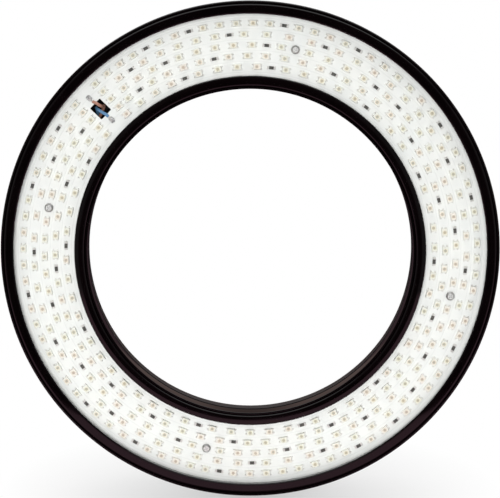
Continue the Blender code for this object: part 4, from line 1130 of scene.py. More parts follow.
def tube(points, radius, resolution):
    """A round tube with closed ends along some points, as a bmesh."""
    curve = bpy.data.curves.new("tube", "CURVE")
    curve.dimensions = "3D"
    curve.bevel_depth = radius
    curve.bevel_resolution = resolution
    curve.use_fill_caps = True
    spline = curve.splines.new("POLY")
    spline.points.add(len(points) - 1)
    for knot, place in zip(spline.points, points):
        knot.co = (*place, 1)
    thing = bpy.data.objects.new("tube", curve)
    bpy.context.scene.collection.objects.link(thing)
    swept = thing.evaluated_get(bpy.context.evaluated_depsgraph_get())
    mesh = bpy.data.meshes.new_from_object(swept)
    shape = bmesh.new()
    shape.from_mesh(mesh)
    bmesh.ops.remove_doubles(shape, verts=shape.verts, dist=WELD)
    bmesh.ops.recalc_face_normals(shape, faces=shape.faces)
    bpy.data.objects.remove(thing)
    bpy.data.curves.remove(curve)
    bpy.data.meshes.remove(mesh)
    return shape


def pad_place(side):
    return on_board(SLOT_MIDDLE + side * (PAD_REACH + 0.2 * MM), SLOT_ANGLE)


def solder_blob(side):
    """A puddle of solder over the pad, drawn up round the strands."""
    blob = bmesh.new()
    bmesh.ops.create_uvsphere(blob, u_segments=24, v_segments=12, radius=1.0)
    bmesh.ops.bisect_plane(blob, geom=blob.verts[:] + blob.edges[:] + blob.faces[:],
                           plane_co=(0, 0, 0), plane_no=(0, 0, 1), clear_inner=True)
    bmesh.ops.holes_fill(blob, edges=blob.edges, sides=0)
    for vert in blob.verts:
        peak = 1 - hypot(vert.co.x, vert.co.y)
        vert.co.z *= 0.45 + 0.55 * max(peak, 0)
    return placed(blob, pad_place(side) @ Matrix.Diagonal(BLOB_SIZE))


def pad(side):
    return slab(rectangle(*PAD_SIZE, PAD_CORNER), 0.0, PAD_HEIGHT, pad_place(side))


RED_PVC = lead_finish("red_pvc", (0.42, 0.2, 0.14))
BLUE_PVC = lead_finish("blue_pvc", (0.09, 0.24, 0.44))
STRANDS = tin("tinned_strands", (0.8, 0.78, 0.75), 0.3, 0.5)
PAD_SOLDER = tin("pad_solder", (0.78, 0.78, 0.78), 0.28, 0.65)
for lead_side, lead_node in LEAD_NODES.items():
    line = smooth_points(lead_route(lead_side))
    bare = [place for place in line if (place - line[0]).length < STRIPPED + 0.4 * MM][:7]
    covered = [place for place in line if (place - line[0]).length > STRIPPED]
    wire = merge(tube(covered, LEAD_RADIUS, 4), paint(tube(bare, STRAND_RADIUS, 3), 1))
    settle(lead_node + "_wire", wire, [RED_PVC if lead_side > 0 else BLUE_PVC, STRANDS], lead_node)
pads = merge(pad(1), pad(-1), solder_blob(1), solder_blob(-1))
settle("lead_pads", pads, [PAD_SOLDER], "led_board")

# %% [markdown]
# ## The rear shell
# The lid behind the tray: a plate with two short walls, chamfered at its rear rims. Six wells let
# the long screws reach the pillars of the front shell, and four inner bosses take the screws of
# the control cover. The wires leave through one round hole under that cover.

# %% Rear shell
REAR_CHAMFER = 1.0 * MM
BORE_DRAFT = 0.8 * MM
WELL_RADIUS, WELL_DEPTH = 3.1 * MM, 3.4 * MM
WELL_BOSS_RADIUS, WELL_BOSS_LENGTH = 4.5 * MM, 3.0 * MM
COVER_BOSS_LENGTH = 6.0 * MM
LEAD_HOLE_RADIUS = 4.0 * MM
PLATE_FRONT = RING_DEPTH - SHELL_PLATE
THROUGH = 1.0 * MM


def add_rear_shell():
    seam = depths("rear_shell")[0]
    chamfer = RING_DEPTH - REAR_CHAMFER
    rear_bore = RIM_BORE + BORE_DRAFT
    profile = [(OUTER, seam, EDGE_EASE), (OUTER, chamfer, EDGE_EASE),
               (OUTER - REAR_CHAMFER, RING_DEPTH, EDGE_EASE),
               (rear_bore + REAR_CHAMFER, RING_DEPTH, EDGE_EASE), (rear_bore, chamfer, EDGE_EASE),
               (SEAM_BORE, seam, 0.1 * MM), (WALL_IN, seam), (WALL_IN, PLATE_FRONT),
               (WALL_OUT, PLATE_FRONT), (WALL_OUT, seam)]
    shell = lathe(rounded(profile), RING_AXIS, RING_STEPS)
    inside = RING_DEPTH - THROUGH
    well_bosses = pegs(SHELL_SCREWS, WELL_BOSS_RADIUS, PLATE_FRONT - WELL_BOSS_LENGTH, inside)
    cover_bosses = pegs(COVER_SCREWS, PILLAR_RADIUS, PLATE_FRONT - COVER_BOSS_LENGTH, inside)
    shell = combine(shell, [well_bosses, cover_bosses], "UNION")
    past = RING_DEPTH + THROUGH
    wells = pegs(SHELL_SCREWS, WELL_RADIUS, RING_DEPTH - WELL_DEPTH, past, ROUND_STEPS)
    well_holes = pegs(SHELL_SCREWS, SCREW_HOLE, PLATE_FRONT - WELL_BOSS_LENGTH - THROUGH, past)
    pilots = pegs(COVER_SCREWS, SCREW_HOLE, PLATE_FRONT - COVER_BOSS_LENGTH - THROUGH, past)
    lead_exit = ring_point(ROUTE_RADIUS[1] - 1.2 * MM, LEAD_EXIT_ANGLE, 0)
    lead_hole = slab(polygon(LEAD_HOLE_RADIUS, ROUND_STEPS), PLATE_FRONT - THROUGH, past,
                     along_depth(lead_exit))
    shell = combine(shell, [wells, well_holes, pilots, lead_hole])
    settle("rear_shell_moulding", shell, [SATIN], "rear_shell")


add_rear_shell()

# %% [markdown]
# ## The control cover
# A curved box on the lower back holds the electronics. Its outline is a stretch of the ring, so
# it is drawn with two arcs; bevels round its four corners and its rear rim. Screw posts with
# deep wells, and openings for the dimmer, the switch and the inlet, are cut as on the solid.

# %% Control cover
COVER_INNER, COVER_OUTER = radii("control_cover")
COVER_FRONT, COVER_BACK = depths("control_cover")
COVER_HALF_ANGLE = 42.0
COVER_WALL, COVER_ROUND = 2.0 * MM, 1.5 * MM
COVER_CORNER = 3.0 * MM
COVER_STEPS = 60
COVER_WELL_DEPTH = 9.1 * MM
POST_RADIUS, SHOULDER_RADIUS = 3.5 * MM, 5.0 * MM
SHOULDER_FRONT = depths("driver_board")[1] + GAP
BUSHING_RADIUS = 4.5 * MM
SWITCH_BODY = (8.8 * MM, 13.8 * MM)
INLET_RADIUS = 5.5 * MM


def sector(inner, outer, half_angle):
    """Outline of a stretch of the ring round its lowest point."""
    return (arc(outer, 90 - half_angle, 90 + half_angle, COVER_STEPS)
            + arc(inner, 90 + half_angle, 90 - half_angle, COVER_STEPS))


def is_upright_corner(edge):
    """Picks upright edges where two walls meet at a clear angle."""
    low, high = edge.verts
    upright = hypot(low.co.x - high.co.x, low.co.y - high.co.y) < WELD
    return upright and edge.calc_face_angle(0) > radians(CREASE)


def add_cover():
    box = slab(sector(COVER_INNER, COVER_OUTER, COVER_HALF_ANGLE), COVER_FRONT, COVER_BACK, Matrix())
    soften(box, is_upright_corner, COVER_CORNER, 6)
    soften(box, at_height(COVER_BACK), COVER_ROUND, 5)
    soften(box, at_height(COVER_FRONT), 0.2 * MM, 1)
    ceiling, past = COVER_BACK - COVER_WALL, COVER_BACK + THROUGH
    inside = sector(COVER_INNER + COVER_WALL, COVER_OUTER - COVER_WALL,
                    COVER_HALF_ANGLE - degrees(COVER_WALL / COVER_INNER))
    inside = slab(inside, COVER_FRONT - THROUGH, ceiling, RING_AXIS)
    box = combine(placed(box, RING_AXIS), [inside])
    root = COVER_BACK - COVER_WALL / 2
    box = combine(box, [pegs(COVER_SCREWS, POST_RADIUS, COVER_FRONT, root, ROUND_STEPS),
                        pegs(COVER_SCREWS, SHOULDER_RADIUS, SHOULDER_FRONT, root, ROUND_STEPS)],
                  "UNION")
    hole = [side + 2 * GAP for side in SWITCH_BODY]
    opening = ceiling - THROUGH
    box = combine(box, [
        pegs(COVER_SCREWS, WELL_RADIUS, COVER_BACK - COVER_WELL_DEPTH, past, ROUND_STEPS),
        pegs(COVER_SCREWS, SCREW_HOLE, COVER_FRONT - THROUGH, past),
        pegs(BRACKET_SCREWS, SCREW_HOLE, opening, past),
        pegs(["dimmer_pot"], BUSHING_RADIUS + GAP, opening, past, ROUND_STEPS),
        pegs(["power_inlet"], INLET_RADIUS + GAP, opening, past, ROUND_STEPS),
        slab(rectangle(*hole), opening, past, behind("switch_housing"))])
    settle("control_cover_moulding", box, [SATIN], "control_cover")


add_cover()

# %% [markdown]
# ## What the cover hides
# The driver board and its parts sit behind the cover, where only a taken-apart lamp shows them.
# Their solids already have the right shapes, so they stay and get finishes: green mask over
# copper tracks, a wound ferrite choke, a sleeved capacitor with its stripe, and a moulded chip.

# %% Electronic finishes


def green_board():
    finish = Finish("board_green", (0.03, 0.17, 0.09), 0.35)
    cells = add_node(finish.tree, "ShaderNodeTexVoronoi", {"feature": "DISTANCE_TO_EDGE"},
                     {"Vector": finish.place, "Scale": 1 / (3.2 * MM)})
    track = cells.span(0.06, 0.09)
    cloud = finish.noise(6 * MM, 2.0)
    finish.put("Base Color", finish.mix(track, (0.06, 0.25, 0.12), (0.02, 0.12, 0.06)))
    finish.put("Roughness", 0.3 + cloud * 0.15)
    finish.bump(1 - track, 0.03 * MM)
    return finish


def wound_ferrite():
    finish = Finish("ferrite", (0.06, 0.05, 0.05), 0.5)
    from_axis = finish.axial(middle("choke"))
    winding = from_axis < 4.4 * MM
    front, back = ends("choke", "y")
    depth = finish.place.part("Y")
    between = (depth > front + 1.15 * MM) * (depth < back - 1.15 * MM)
    turns = ((depth / (0.45 * MM)).math("FRACT")).math("PINGPONG", 0.5)
    grit = finish.noise(0.3 * MM, 2.0)
    finish.put("Base Color", finish.mix(winding * between, (0.06, 0.05, 0.05), (0.75, 0.32, 0.14)))
    finish.put("Roughness", 0.3 + grit * 0.3)
    finish.bump(turns * between + grit * 0.1, 0.1 * MM)
    return finish


def capacitor_sleeve():
    finish = Finish("capacitor_sleeve", (0.1, 0.1, 0.2), 0.3)
    around = finish.moved(middle("capacitor"))
    stripe = (around.part("X") > 0.2 * MM) * (around.part("Z").math("ABSOLUTE") < 1.1 * MM)
    lid = finish.place.part("Y") < ends("capacitor", "y")[0] + 0.15 * MM
    haze = finish.noise(2 * MM, 2.0)
    sleeve = finish.mix(stripe, (0.08, 0.08, 0.18), (0.6, 0.62, 0.66))
    finish.put("Base Color", finish.mix(lid, sleeve, (0.7, 0.7, 0.72)))
    finish.put("Metallic", lid * 1.0)
    finish.put("Roughness", 0.25 + haze * 0.15)
    return finish


def chip_moulding():
    finish = Finish("chip_black", (0.03, 0.03, 0.03), 0.5)
    mark = finish.axial(middle("driver_chip") + Vector((2.0 * MM, 0, 1.7 * MM))) < 0.45 * MM
    grit = finish.noise(0.2 * MM, 2.0)
    finish.put("Base Color", finish.mix(mark, (0.025, 0.025, 0.027), (0.12, 0.12, 0.12)))
    finish.put("Roughness", 0.45 + grit * 0.2)
    finish.bump(grit - mark * 2, 0.03 * MM)
    return finish


DRESSED = {"driver_board": green_board(), "choke": wound_ferrite(),
           "capacitor": capacitor_sleeve(), "driver_chip": chip_moulding()}
for dressed_node, dressed_finish in DRESSED.items():
    solid = NODES[dressed_node].data
    solid.materials.clear()
    solid.materials.append(dressed_finish.material)
print("dressed:", ", ".join(DRESSED))

# %% [markdown]
# ## Metals and rubber for the hardware
# The bracket and the foot are anodised aluminium, matt from bead blasting. The inserts are turned
# brass, whose cutting marks run round the axis. The clamp knob and the foot's pad are soft
# rubber, and the small white marks on the controls are paint.

# %% Hardware finishes


def turned_brass(name, centre, axis):
    finish = Finish(name, (0.72, 0.55, 0.25), 0.28, 1.0)
    from_axis = finish.axial(centre, axis)
    rings = finish.noise(0.15 * MM, 1.0, add_node(finish.tree, "ShaderNodeCombineXYZ", {},
                                                 {"X": from_axis, "Y": finish.place.part(axis)}))
    patina = finish.noise(3 * MM, 3.0)
    finish.put("Base Color", finish.mix(patina, (0.75, 0.58, 0.27), (0.62, 0.45, 0.2)))
    finish.put("Roughness", 0.2 + rings * 0.15 + patina * 0.1)
    finish.bump(rings, 0.01 * MM, 0.6)
    return finish


def soft_rubber():
    finish = Finish("black_rubber", (0.02, 0.02, 0.021), 0.8)
    grain = finish.noise(0.18 * MM, 3.0)
    dust = finish.noise(7 * MM, 4.0)
    finish.put("Base Color", finish.mix(dust.span(0.45, 0.8), (0.018, 0.018, 0.019),
                                        (0.04, 0.04, 0.041)))
    finish.put("Roughness", 0.72 + grain * 0.2)
    finish.bump(grain, 0.05 * MM, 0.8)
    return finish


ANODISED = worn("black_aluminium", ((0.035, 0.035, 0.04), (0.06, 0.06, 0.065)), (12, 3.0),
                (0.22, 2.0), (0.32, 0.05, 0.14), (0.02, 0.6), 0.6)
RUBBER = soft_rubber()
NICKEL = tin("nickel", (0.66, 0.65, 0.62), 0.22, 1.0)
PAINT = satin("white_paint", (0.62, 0.62, 0.6))
print("hardware finishes ready")

# %% [markdown]
# ## The dimmer
# A potentiometer hangs inside the cover on its threaded bushing, held by a flat hexagon nut. The
# knob's grip is a row of soft waves, drawn as a cosine in its outline, and its white pointer lies
# in a groove. The scale on the cover is a row of ticks that grow towards full brightness.

# %% Dimmer
SHAFT_RADIUS = 3.0 * MM
BUSHING_PITCH, BUSHING_RIDGE = 0.75 * MM, 0.25 * MM
NUT_RADIUS = 6.4 * MM
KNOB_RADIUS, KNOB_GRIPS, GRIP_DEPTH, KNOB_ROUND = 8.5 * MM, 18, 0.4 * MM, 0.8 * MM
POINTER = (1.0 * MM, 4.6 * MM, 0.5 * MM)
POINTER_START = 30.0
KNOB_DISH = (5.2 * MM, 4.9 * MM, 0.25 * MM)
TICK_COUNT, TICK_TURN, TICK_LENGTH, TICK_HEIGHT = 11, 30.0, 1.3 * MM, 0.08 * MM
DIMMER_PLACE = behind("dimmer_pot")


def wavy(radius, waves, depth, steps):
    """A circle whose radius swings by the depth, some waves round."""
    turns = [tau * step / (waves * steps) for step in range(waves * steps)]
    spans = [radius - depth * (1 - cos(waves * turn)) / 2 for turn in turns]
    return [(span * cos(turn), span * sin(turn)) for span, turn in zip(spans, turns)]


def dish(sizes, high, place):
    """The cutter of a shallow hollow in a knob's top; its sizes are rim, floor and depth."""
    rim, floor, depth = sizes
    return turned([(rim, high + MM), (rim, high), (floor, high - depth)], place)


def add_pot():
    bottom, top = depths("dimmer_pot")
    body_top = COVER_BACK - COVER_WALL - GAP
    left, right = ends("dimmer_pot", "x")
    pot_radius, bore = (right - left) / 2, SHAFT_RADIUS + GAP
    valley, start = BUSHING_RADIUS - BUSHING_RIDGE, body_top + MM
    count = int((top - 0.3 * MM - start) / BUSHING_PITCH)
    profile = [(pot_radius, bottom, 0.5 * MM), (pot_radius, body_top, 0.4 * MM), (valley, body_top),
               *ridges(BUSHING_RADIUS, BUSHING_RIDGE, BUSHING_PITCH, start, count),
               (valley, top), (bore, top), (bore, bottom + MM)]
    settle("potentiometer", turned(profile, DIMMER_PLACE), [ANODISED], "dimmer_pot")


def add_nut():
    low, high = depths("pot_nut")
    nut = slab(polygon(NUT_RADIUS, 6), low, high, DIMMER_PLACE, 0.35 * MM, 0.2 * MM, 2)
    bore = pegs(["pot_nut"], BUSHING_RADIUS + GAP, low - THROUGH, high + THROUGH, ROUND_STEPS)
    settle("dimmer_nut", combine(nut, [bore]), [ZINC], "pot_nut")


def add_shaft():
    low, high = depths("pot_shaft")
    shaft = turned([(SHAFT_RADIUS, high, 0.5 * MM), (SHAFT_RADIUS, low, 0.3 * MM)], DIMMER_PLACE)
    settle("dimmer_shaft", shaft, [ZINC], "pot_shaft")


def knob_hollow(low):
    """The space inside the knob for the nut, the bushing and the shaft."""
    nut, bushing, shaft = NUT_RADIUS + 2 * GAP, BUSHING_RADIUS + 2 * GAP, SHAFT_RADIUS + GAP
    nut_end, bushing_end = low + 2.6 * MM, depths("dimmer_pot")[1] + 2 * GAP
    shaft_end = depths("pot_shaft")[1] + GAP
    return turned([(shaft, shaft_end), (shaft, bushing_end), (bushing, bushing_end),
                   (bushing, nut_end), (nut, nut_end), (nut, low - THROUGH)], DIMMER_PLACE)


def pointer_bar(low, high, spare):
    """The pointer's bar, from inside the top face out past the knob's rim where spare."""
    middle_out = KNOB_RADIUS - POINTER[1] / 2 + spare / 2
    turn = DIMMER_PLACE @ Matrix.Rotation(radians(-POINTER_START), 4, "Z")
    return slab(rectangle(POINTER[0], POINTER[1] + spare, centre=(0, middle_out)), low, high, turn)


def add_knob():
    low, high = depths("dimmer_knob")
    grip = wavy(KNOB_RADIUS, KNOB_GRIPS, GRIP_DEPTH, 8)
    knob = slab(grip, low, high, DIMMER_PLACE, KNOB_ROUND, 0.25 * MM)
    groove = pointer_bar(high - POINTER[2], high + THROUGH, THROUGH)
    cutters = [knob_hollow(low), dish(KNOB_DISH, high, DIMMER_PLACE), groove]
    settle("knob_moulding", combine(knob, cutters), [SATIN], "dimmer_knob")
    paint_line = pointer_bar(high - POINTER[2], high - 0.28 * MM, -0.9 * MM)
    settle("knob_pointer_line", paint_line, [PAINT], "dimmer_knob")


def add_scale():
    """Eleven ticks from the pointer's first place to its last one."""
    ticks = []
    for index in range(TICK_COUNT):
        turn = Matrix.Rotation(radians(-POINTER_START - TICK_TURN * index), 4, "Z")
        width = (0.35 + 0.04 * index) * MM
        outline = rectangle(width, TICK_LENGTH, centre=(0, KNOB_RADIUS + 1.75 * MM))
        ticks.append(slab(outline, COVER_BACK, COVER_BACK + TICK_HEIGHT, DIMMER_PLACE @ turn))
    settle("brightness_scale", merge(*ticks), [PAINT], "control_cover")


add_pot()
add_nut()
add_shaft()
add_knob()
add_scale()

# %% [markdown]
# ## The power switch
# A small rocker in a snap-in frame. The rocker's outline is a shallow V seen from its side, so
# it is drawn there and pushed across; its two halves carry the usual marks, a bar for on and a
# ring for off, which are generic on any switch.

# %% Switch
SWITCH_FLANGE, FLANGE_THICKNESS = (10.6 * MM, 15.2 * MM), 1.4 * MM
SWITCH_RECESS, RECESS_DEPTH = (7.2 * MM, 12.2 * MM), 5.8 * MM
ROCKER_HALF, ROCKER_RISE, ROCKER_DIP, ROCKER_KEEL = 4.9 * MM, 4.4 * MM, 3.2 * MM, 1.6 * MM
ROCKER_REST = 7.0
BAR_MARK, RING_MARK = (0.45 * MM, 1.9 * MM), (0.95 * MM, 0.6 * MM)
MARK_BOTTOM, MARK_TOP = -0.05 * MM, 0.06 * MM
SWITCH_PLACE = behind("switch_housing")


def add_switch_frame():
    bottom, rim = depths("switch_housing")
    seat = rim - FLANGE_THICKNESS
    frame_body = slab(rectangle(*SWITCH_BODY, 0.3 * MM), bottom, seat + FLANGE_THICKNESS / 2,
                      SWITCH_PLACE)
    flange = slab(rectangle(*SWITCH_FLANGE, 0.9 * MM), seat, rim, SWITCH_PLACE, 0.45 * MM, 0.1 * MM)
    recess = slab(rectangle(*SWITCH_RECESS, 0.3 * MM), rim - RECESS_DEPTH, rim + THROUGH,
                  SWITCH_PLACE)
    frame_body = combine(combine(frame_body, [flange], "UNION"), [recess])
    settle("switch_frame", frame_body, [SATIN], "switch_housing")


def rocker_place():
    """At the rocker's axle, with local Z along the axle and local X pointing forwards."""
    spot = Vector((middle("power_rocker").x, CENTRE.y + COVER_BACK, middle("switch_housing").z))
    lean = Matrix.Rotation(radians(ROCKER_REST), 4, "X")
    return Matrix.Translation(spot) @ lean @ along_x(Vector())


def add_rocker():
    width = SWITCH_RECESS[0] - 2 * GAP
    outline = rounded([(0, -ROCKER_HALF), (-ROCKER_RISE, -ROCKER_HALF, 0.5 * MM),
                       (-ROCKER_DIP, 0, 6 * MM), (-ROCKER_RISE, ROCKER_HALF, 0.5 * MM),
                       (0, ROCKER_HALF), (ROCKER_KEEL, 0)])
    rocker = slab(outline, -width / 2, width / 2, rocker_place(), 0.3 * MM, 0.3 * MM, 2)
    settle("switch_rocker", rocker, [GLOSS_SWITCH], "power_rocker")
    slope = (ROCKER_RISE - ROCKER_DIP) / ROCKER_HALF
    places = []
    for side in (-1, 1):
        along = side * ROCKER_HALF * 0.55
        spot = Matrix.Translation((-ROCKER_DIP - abs(along) * slope, along, 0))
        lean = Matrix.Rotation(side * slope, 4, "Z")
        places.append(rocker_place() @ spot @ lean @ Matrix.Rotation(-pi / 2, 4, "Y"))
    outside, inside = RING_MARK
    ring = [(outside, MARK_BOTTOM), (outside, MARK_TOP), (inside, MARK_TOP), (inside, MARK_BOTTOM)]
    marks = merge(slab(rectangle(*BAR_MARK), MARK_BOTTOM, MARK_TOP, places[0]),
                  lathe(ring, places[1], 32))
    settle("switch_marks", marks, [PAINT], "power_rocker")


GLOSS_SWITCH = gloss_black("rocker_black", middle("power_rocker"))
add_switch_frame()
add_rocker()

# %% [markdown]
# ## The power inlet
# A barrel socket: a black plastic body with a nickelled sleeve and a pin in the middle. All of it
# is round, so three outlines are spun about one axis.

# %% Inlet
SLEEVE_WALL = 0.25 * MM
INLET_HOLE, INLET_DEPTH = 3.2 * MM, 9.0 * MM
PIN_RADIUS, PIN_RECESS = 1.0 * MM, 1.6 * MM
INLET_PLACE = behind("power_inlet")


def add_inlet():
    base, mouth = depths("power_inlet")
    bottom, sleeve_top = mouth - INLET_DEPTH, mouth - 0.5 * MM
    socket = turned([(INLET_RADIUS, base), (INLET_RADIUS, mouth, 0.4 * MM),
                     (INLET_HOLE, mouth, 0.25 * MM), (INLET_HOLE, bottom)], INLET_PLACE)
    inside = INLET_HOLE - SLEEVE_WALL
    sleeve = lathe([(INLET_HOLE, bottom), (INLET_HOLE, sleeve_top), (inside, sleeve_top),
                    (inside, bottom)], INLET_PLACE)
    pin = turned([(PIN_RADIUS, mouth - PIN_RECESS, 0.35 * MM), (PIN_RADIUS, bottom - 0.1 * MM)],
                 INLET_PLACE, 24)
    whole = merge(socket, paint(sleeve, 1), paint(pin, 1))
    settle("inlet_socket", whole, [SATIN, NICKEL], "power_inlet")


add_inlet()

# %% [markdown]
# ## The tilt bracket
# A plate screwed to the cover, with two lugs that hold the hinge bolt. Plate and lugs are pushed
# outlines with softened rims, joined into one casting, and drilled afterwards.

# %% Tilt bracket
PIVOT = Vector((0, 0, sum(ends("hinge_washer_1", "z")) / 2))
PIVOT_AXIS = along_x(PIVOT)
HINGE_RADIUS, BOLT_RADIUS = 8.0 * MM, 3.0 * MM
LUG_INSIDE, LUG_OUTSIDE = 6.3 * MM, 10.3 * MM
PLATE_NEAR, PLATE_FAR = 13.7 * MM, 10.7 * MM
PLATE_DROP, PLATE_RISE = 6.0 * MM, 10.0 * MM
CASTING_EASE = 0.45 * MM


def rod(radius, start, end):
    """A straight bar along the hinge's axis."""
    return slab(polygon(radius, ROUND_STEPS), start, end, PIVOT_AXIS)


def add_bracket():
    root = (PLATE_NEAR + PLATE_FAR) / 2
    plate_outline = rounded([(PLATE_FAR, PLATE_DROP, CASTING_EASE),
                             (PLATE_NEAR, PLATE_DROP, 0.2 * MM),
                             (PLATE_NEAR, -PLATE_RISE, 0.2 * MM),
                             (PLATE_FAR, -PLATE_RISE, CASTING_EASE)])
    bracket = slab(plate_outline, -LUG_OUTSIDE, LUG_OUTSIDE, PIVOT_AXIS, CASTING_EASE, CASTING_EASE)
    lug = [(root, -HINGE_RADIUS)] + arc(HINGE_RADIUS, 270, 90, 32) + [(root, PLATE_DROP)]
    lugs = [slab(lug, low, low + LUG_OUTSIDE - LUG_INSIDE, PIVOT_AXIS, CASTING_EASE, CASTING_EASE)
            for low in (-LUG_OUTSIDE, LUG_INSIDE)]
    bracket = combine(bracket, lugs, "UNION")
    pilot_end = COVER_BACK + 3.0 * MM
    bolt_hole = rod(BOLT_RADIUS + GAP, -LUG_OUTSIDE - THROUGH, LUG_OUTSIDE + THROUGH)
    pilots = pegs(BRACKET_SCREWS, SCREW_HOLE, COVER_BACK - THROUGH, pilot_end)
    settle("bracket_casting", combine(bracket, [bolt_hole, pilots]), [ANODISED], "tilt_bracket")


add_bracket()

# %% [markdown]
# ## The hinge bolt, its washers and the clamp
# The bolt's hexagon head is chamfered where a spanner slips on. The clamp knob has six soft
# lobes for the fingers, and a brass insert inside takes the thread.

# %% Hinge hardware
HEAD_RADIUS, HEAD_HEIGHT = 5.8 * MM, 4.0 * MM
WASHER_RADIUS, WASHER_EASE = 6.2 * MM, 0.2 * MM
CLAMP_RADIUS, CLAMP_LOBES, LOBE_DEPTH, CLAMP_ROUND = 9.5 * MM, 6, 0.8 * MM, 1.0 * MM
CLAMP_DISH = (5.4 * MM, 5.0 * MM, 0.4 * MM)
INSERT_RADIUS, KNURL_EASE = 5.0 * MM, 0.3 * MM
BOLT_PITCH, BOLT_RIDGE = 1.0 * MM, 0.3 * MM


def add_bolt():
    start, tip = ends("hinge_bolt", "x")
    seat, cone_radius = start + HEAD_HEIGHT, HEAD_RADIUS + 0.2 * MM
    head = slab(polygon(HEAD_RADIUS, 6), start, seat, Matrix())
    cone = turned([(HEAD_RADIUS - 0.9 * MM, start), (cone_radius, start + 0.7 * MM),
                   (cone_radius, seat)], Matrix())
    head = combine(head, [cone], "INTERSECT")
    threaded = LUG_OUTSIDE + 2 * MM
    count = int((tip - threaded - BOLT_PITCH) / BOLT_PITCH)
    thread = ridges(BOLT_RADIUS, BOLT_RIDGE, BOLT_PITCH, threaded, count)[:-1]
    line = [(BOLT_RADIUS, start + HEAD_HEIGHT / 2), (BOLT_RADIUS, LUG_OUTSIDE), *thread,
            (BOLT_RADIUS - BOLT_RIDGE, tip - BOLT_PITCH / 2), (BOLT_RADIUS - 2 * BOLT_RIDGE, tip)]
    bolt_shank = turned(line, Matrix())
    bolt = placed(combine(head, [bolt_shank], "UNION"), PIVOT_AXIS)
    settle("hinge_bolt_machined", bolt, [ZINC], "hinge_bolt")


def add_washer(node):
    low, high = ends(node, "x")
    hole = BOLT_RADIUS + GAP
    profile = rounded([(WASHER_RADIUS, high, WASHER_EASE), (WASHER_RADIUS, low, WASHER_EASE),
                       (hole, low, 0.1 * MM), (hole, high, 0.1 * MM)])
    settle(node + "_pressed", lathe(profile, PIVOT_AXIS), [ZINC], node)


def add_clamp_insert():
    low, high = ends("clamp_insert", "x")
    outline = wavy(INSERT_RADIUS, 30, 0.25 * MM, 4)
    knurl = slab(outline, low, high, PIVOT_AXIS, KNURL_EASE, KNURL_EASE, 1)
    insert = combine(knurl, [rod(BOLT_RADIUS + GAP, low - THROUGH, high + THROUGH)])
    settle("clamp_insert_turned", insert, [turned_brass("clamp_brass", PIVOT, "X")], "clamp_insert")


def add_clamp_knob():
    low, high = ends("clamp_knob", "x")
    grip = wavy(CLAMP_RADIUS, CLAMP_LOBES, LOBE_DEPTH, 20)
    knob = slab(grip, low, high, PIVOT_AXIS, CLAMP_ROUND, 0.5 * MM, 4)
    hollow = rod(INSERT_RADIUS + GAP, low - THROUGH, ends("clamp_insert", "x")[1] + GAP)
    knob = combine(knob, [hollow, dish(CLAMP_DISH, high, PIVOT_AXIS)])
    settle("clamp_knob_moulding", knob, [RUBBER], "clamp_knob")


add_bolt()
add_washer("hinge_washer_1")
add_washer("hinge_washer_2")
add_clamp_insert()
add_clamp_knob()

# %% [markdown]
# ## The stand foot
# A round foot with a flat tongue that fits between the lugs. Under it sits a brass insert with a
# real quarter-inch thread, whose cutter is a tooth spun upwards by one pitch per turn, and a
# ribbed rubber pad that keeps the lamp from turning on its stand.

# %% Stand foot
FOOT_RADIUS, FOOT_ROUND = 11.0 * MM, 1.0 * MM
FOOT_BASE, FOOT_SHOULDER = 1.5 * MM, 10.0 * MM
TONGUE_HALF, NECK_HALF_DEPTH = 6.0 * MM, 6.0 * MM
SOCKET_RADIUS, THREAD_RADIUS = 4.5 * MM, 3.175 * MM
STAND_PITCH, STAND_TOOTH, THREAD_STEPS = 1.27 * MM, 0.55 * MM, 24
FOOT_STEPS = 72
RIB_PITCH, RIB_DEPTH = 1.3 * MM, 0.3 * MM


def add_foot():
    foot = turned([(FOOT_RADIUS, FOOT_SHOULDER, FOOT_ROUND), (FOOT_RADIUS, FOOT_BASE, 0.4 * MM)],
                  Matrix(), FOOT_STEPS, 6)
    drop = PIVOT.z - FOOT_SHOULDER + MM
    spread = degrees(pi / 2 - Vector((NECK_HALF_DEPTH, (HINGE_RADIUS ** 2 - NECK_HALF_DEPTH ** 2)
                                      ** 0.5)).angle(Vector((1, 0))))
    neck = ([(NECK_HALF_DEPTH, drop)] + arc(HINGE_RADIUS, 90 - spread, spread - 270, 48)
            + [(-NECK_HALF_DEPTH, drop)])
    tongue = slab(neck, -TONGUE_HALF, TONGUE_HALF, PIVOT_AXIS, CASTING_EASE, CASTING_EASE)
    foot = combine(foot, [tongue], "UNION")
    insert_end = ends("thread_insert", "z")[1]
    socket = slab(polygon(SOCKET_RADIUS + GAP, ROUND_STEPS), -THROUGH, insert_end + GAP, Matrix())
    bolt_hole = rod(BOLT_RADIUS + GAP, -TONGUE_HALF - THROUGH, TONGUE_HALF + THROUGH)
    settle("stand_foot_casting", combine(foot, [bolt_hole, socket]), [ANODISED], "stand_foot")


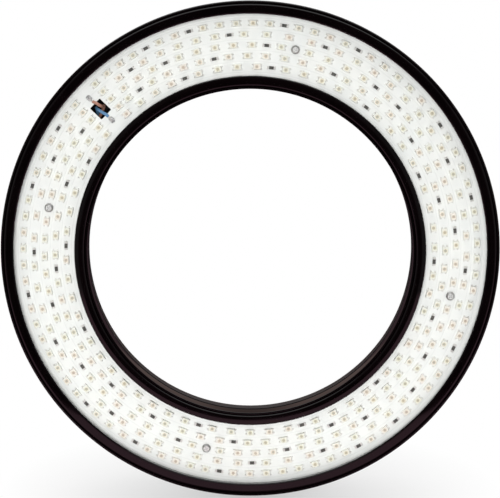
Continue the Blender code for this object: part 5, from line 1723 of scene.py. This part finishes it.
def thread_bar(low, high):
    """A solid screw: a tooth spun round Z while it climbs, trimmed and closed at both ends."""
    shape = bmesh.new()
    turns = int((high - low) / STAND_PITCH) + 4
    start, valley = low - 2 * STAND_PITCH, THREAD_RADIUS - STAND_TOOTH
    profile = [(valley, 0.0), (THREAD_RADIUS, 0.4), (THREAD_RADIUS, 0.6), (valley, 1.0)]
    verts = [shape.verts.new((span, 0, start + climb * STAND_PITCH)) for span, climb in profile]
    edges = [shape.edges.new(pair) for pair in zip(verts, verts[1:])]
    bmesh.ops.spin(shape, geom=verts + edges, cent=(0, 0, 0), axis=(0, 0, 1), angle=tau * turns,
                   dvec=(0, 0, STAND_PITCH / THREAD_STEPS), steps=THREAD_STEPS * turns)
    bmesh.ops.remove_doubles(shape, verts=shape.verts, dist=WELD)
    for height, outwards in ((low, -1), (high, 1)):
        geometry = shape.verts[:] + shape.edges[:] + shape.faces[:]
        cut_through = bmesh.ops.bisect_plane(shape, geom=geometry, plane_co=(0, 0, height),
                                             plane_no=(0, 0, outwards), clear_outer=True)
        rim = [item for item in cut_through["geom_cut"] if isinstance(item, bmesh.types.BMEdge)]
        bmesh.ops.edgeloop_fill(shape, edges=rim)
    bmesh.ops.recalc_face_normals(shape, faces=shape.faces)
    return shape


def add_thread_insert():
    low, high = ends("thread_insert", "z")
    outline = wavy(SOCKET_RADIUS, 28, 0.2 * MM, 4)
    knurl = slab(outline, low, high, Matrix(), KNURL_EASE, KNURL_EASE, 1)
    mouth = turned([(THREAD_RADIUS + 0.6 * MM, low - MM), (THREAD_RADIUS + 0.1 * MM, low),
                    (THREAD_RADIUS - STAND_TOOTH, low + 0.6 * MM)], Matrix())
    insert = combine(knurl, [thread_bar(low - THROUGH, high + THROUGH), mouth])
    settle("thread_insert_turned", insert, [turned_brass("stand_brass", (0, 0, 0), "Z")],
           "thread_insert")


def add_pad():
    thickness = ends("foot_pad", "z")[1]
    inner = SOCKET_RADIUS + GAP
    profile = [(inner, thickness), (inner, 0)]
    ribs = int((FOOT_RADIUS - inner) / RIB_PITCH)
    for rib in range(ribs):
        start = inner + (rib + 0.5) * RIB_PITCH
        profile += [(start, 0), (start + 0.15 * MM, RIB_DEPTH), (start + 0.5 * MM, RIB_DEPTH),
                    (start + 0.65 * MM, 0)]
    profile += [(FOOT_RADIUS, 0, 0.3 * MM), (FOOT_RADIUS, thickness, 0.2 * MM)]
    pad_shape = lathe(rounded(profile), Matrix(), FOOT_STEPS)
    settle("foot_pad_moulding", pad_shape, [RUBBER], "foot_pad")


add_foot()
add_thread_insert()
add_pad()

# %% [markdown]
# ## The colour view
# The standard view shows colours as they are.

bpy.context.scene.view_settings.view_transform = "Standard"
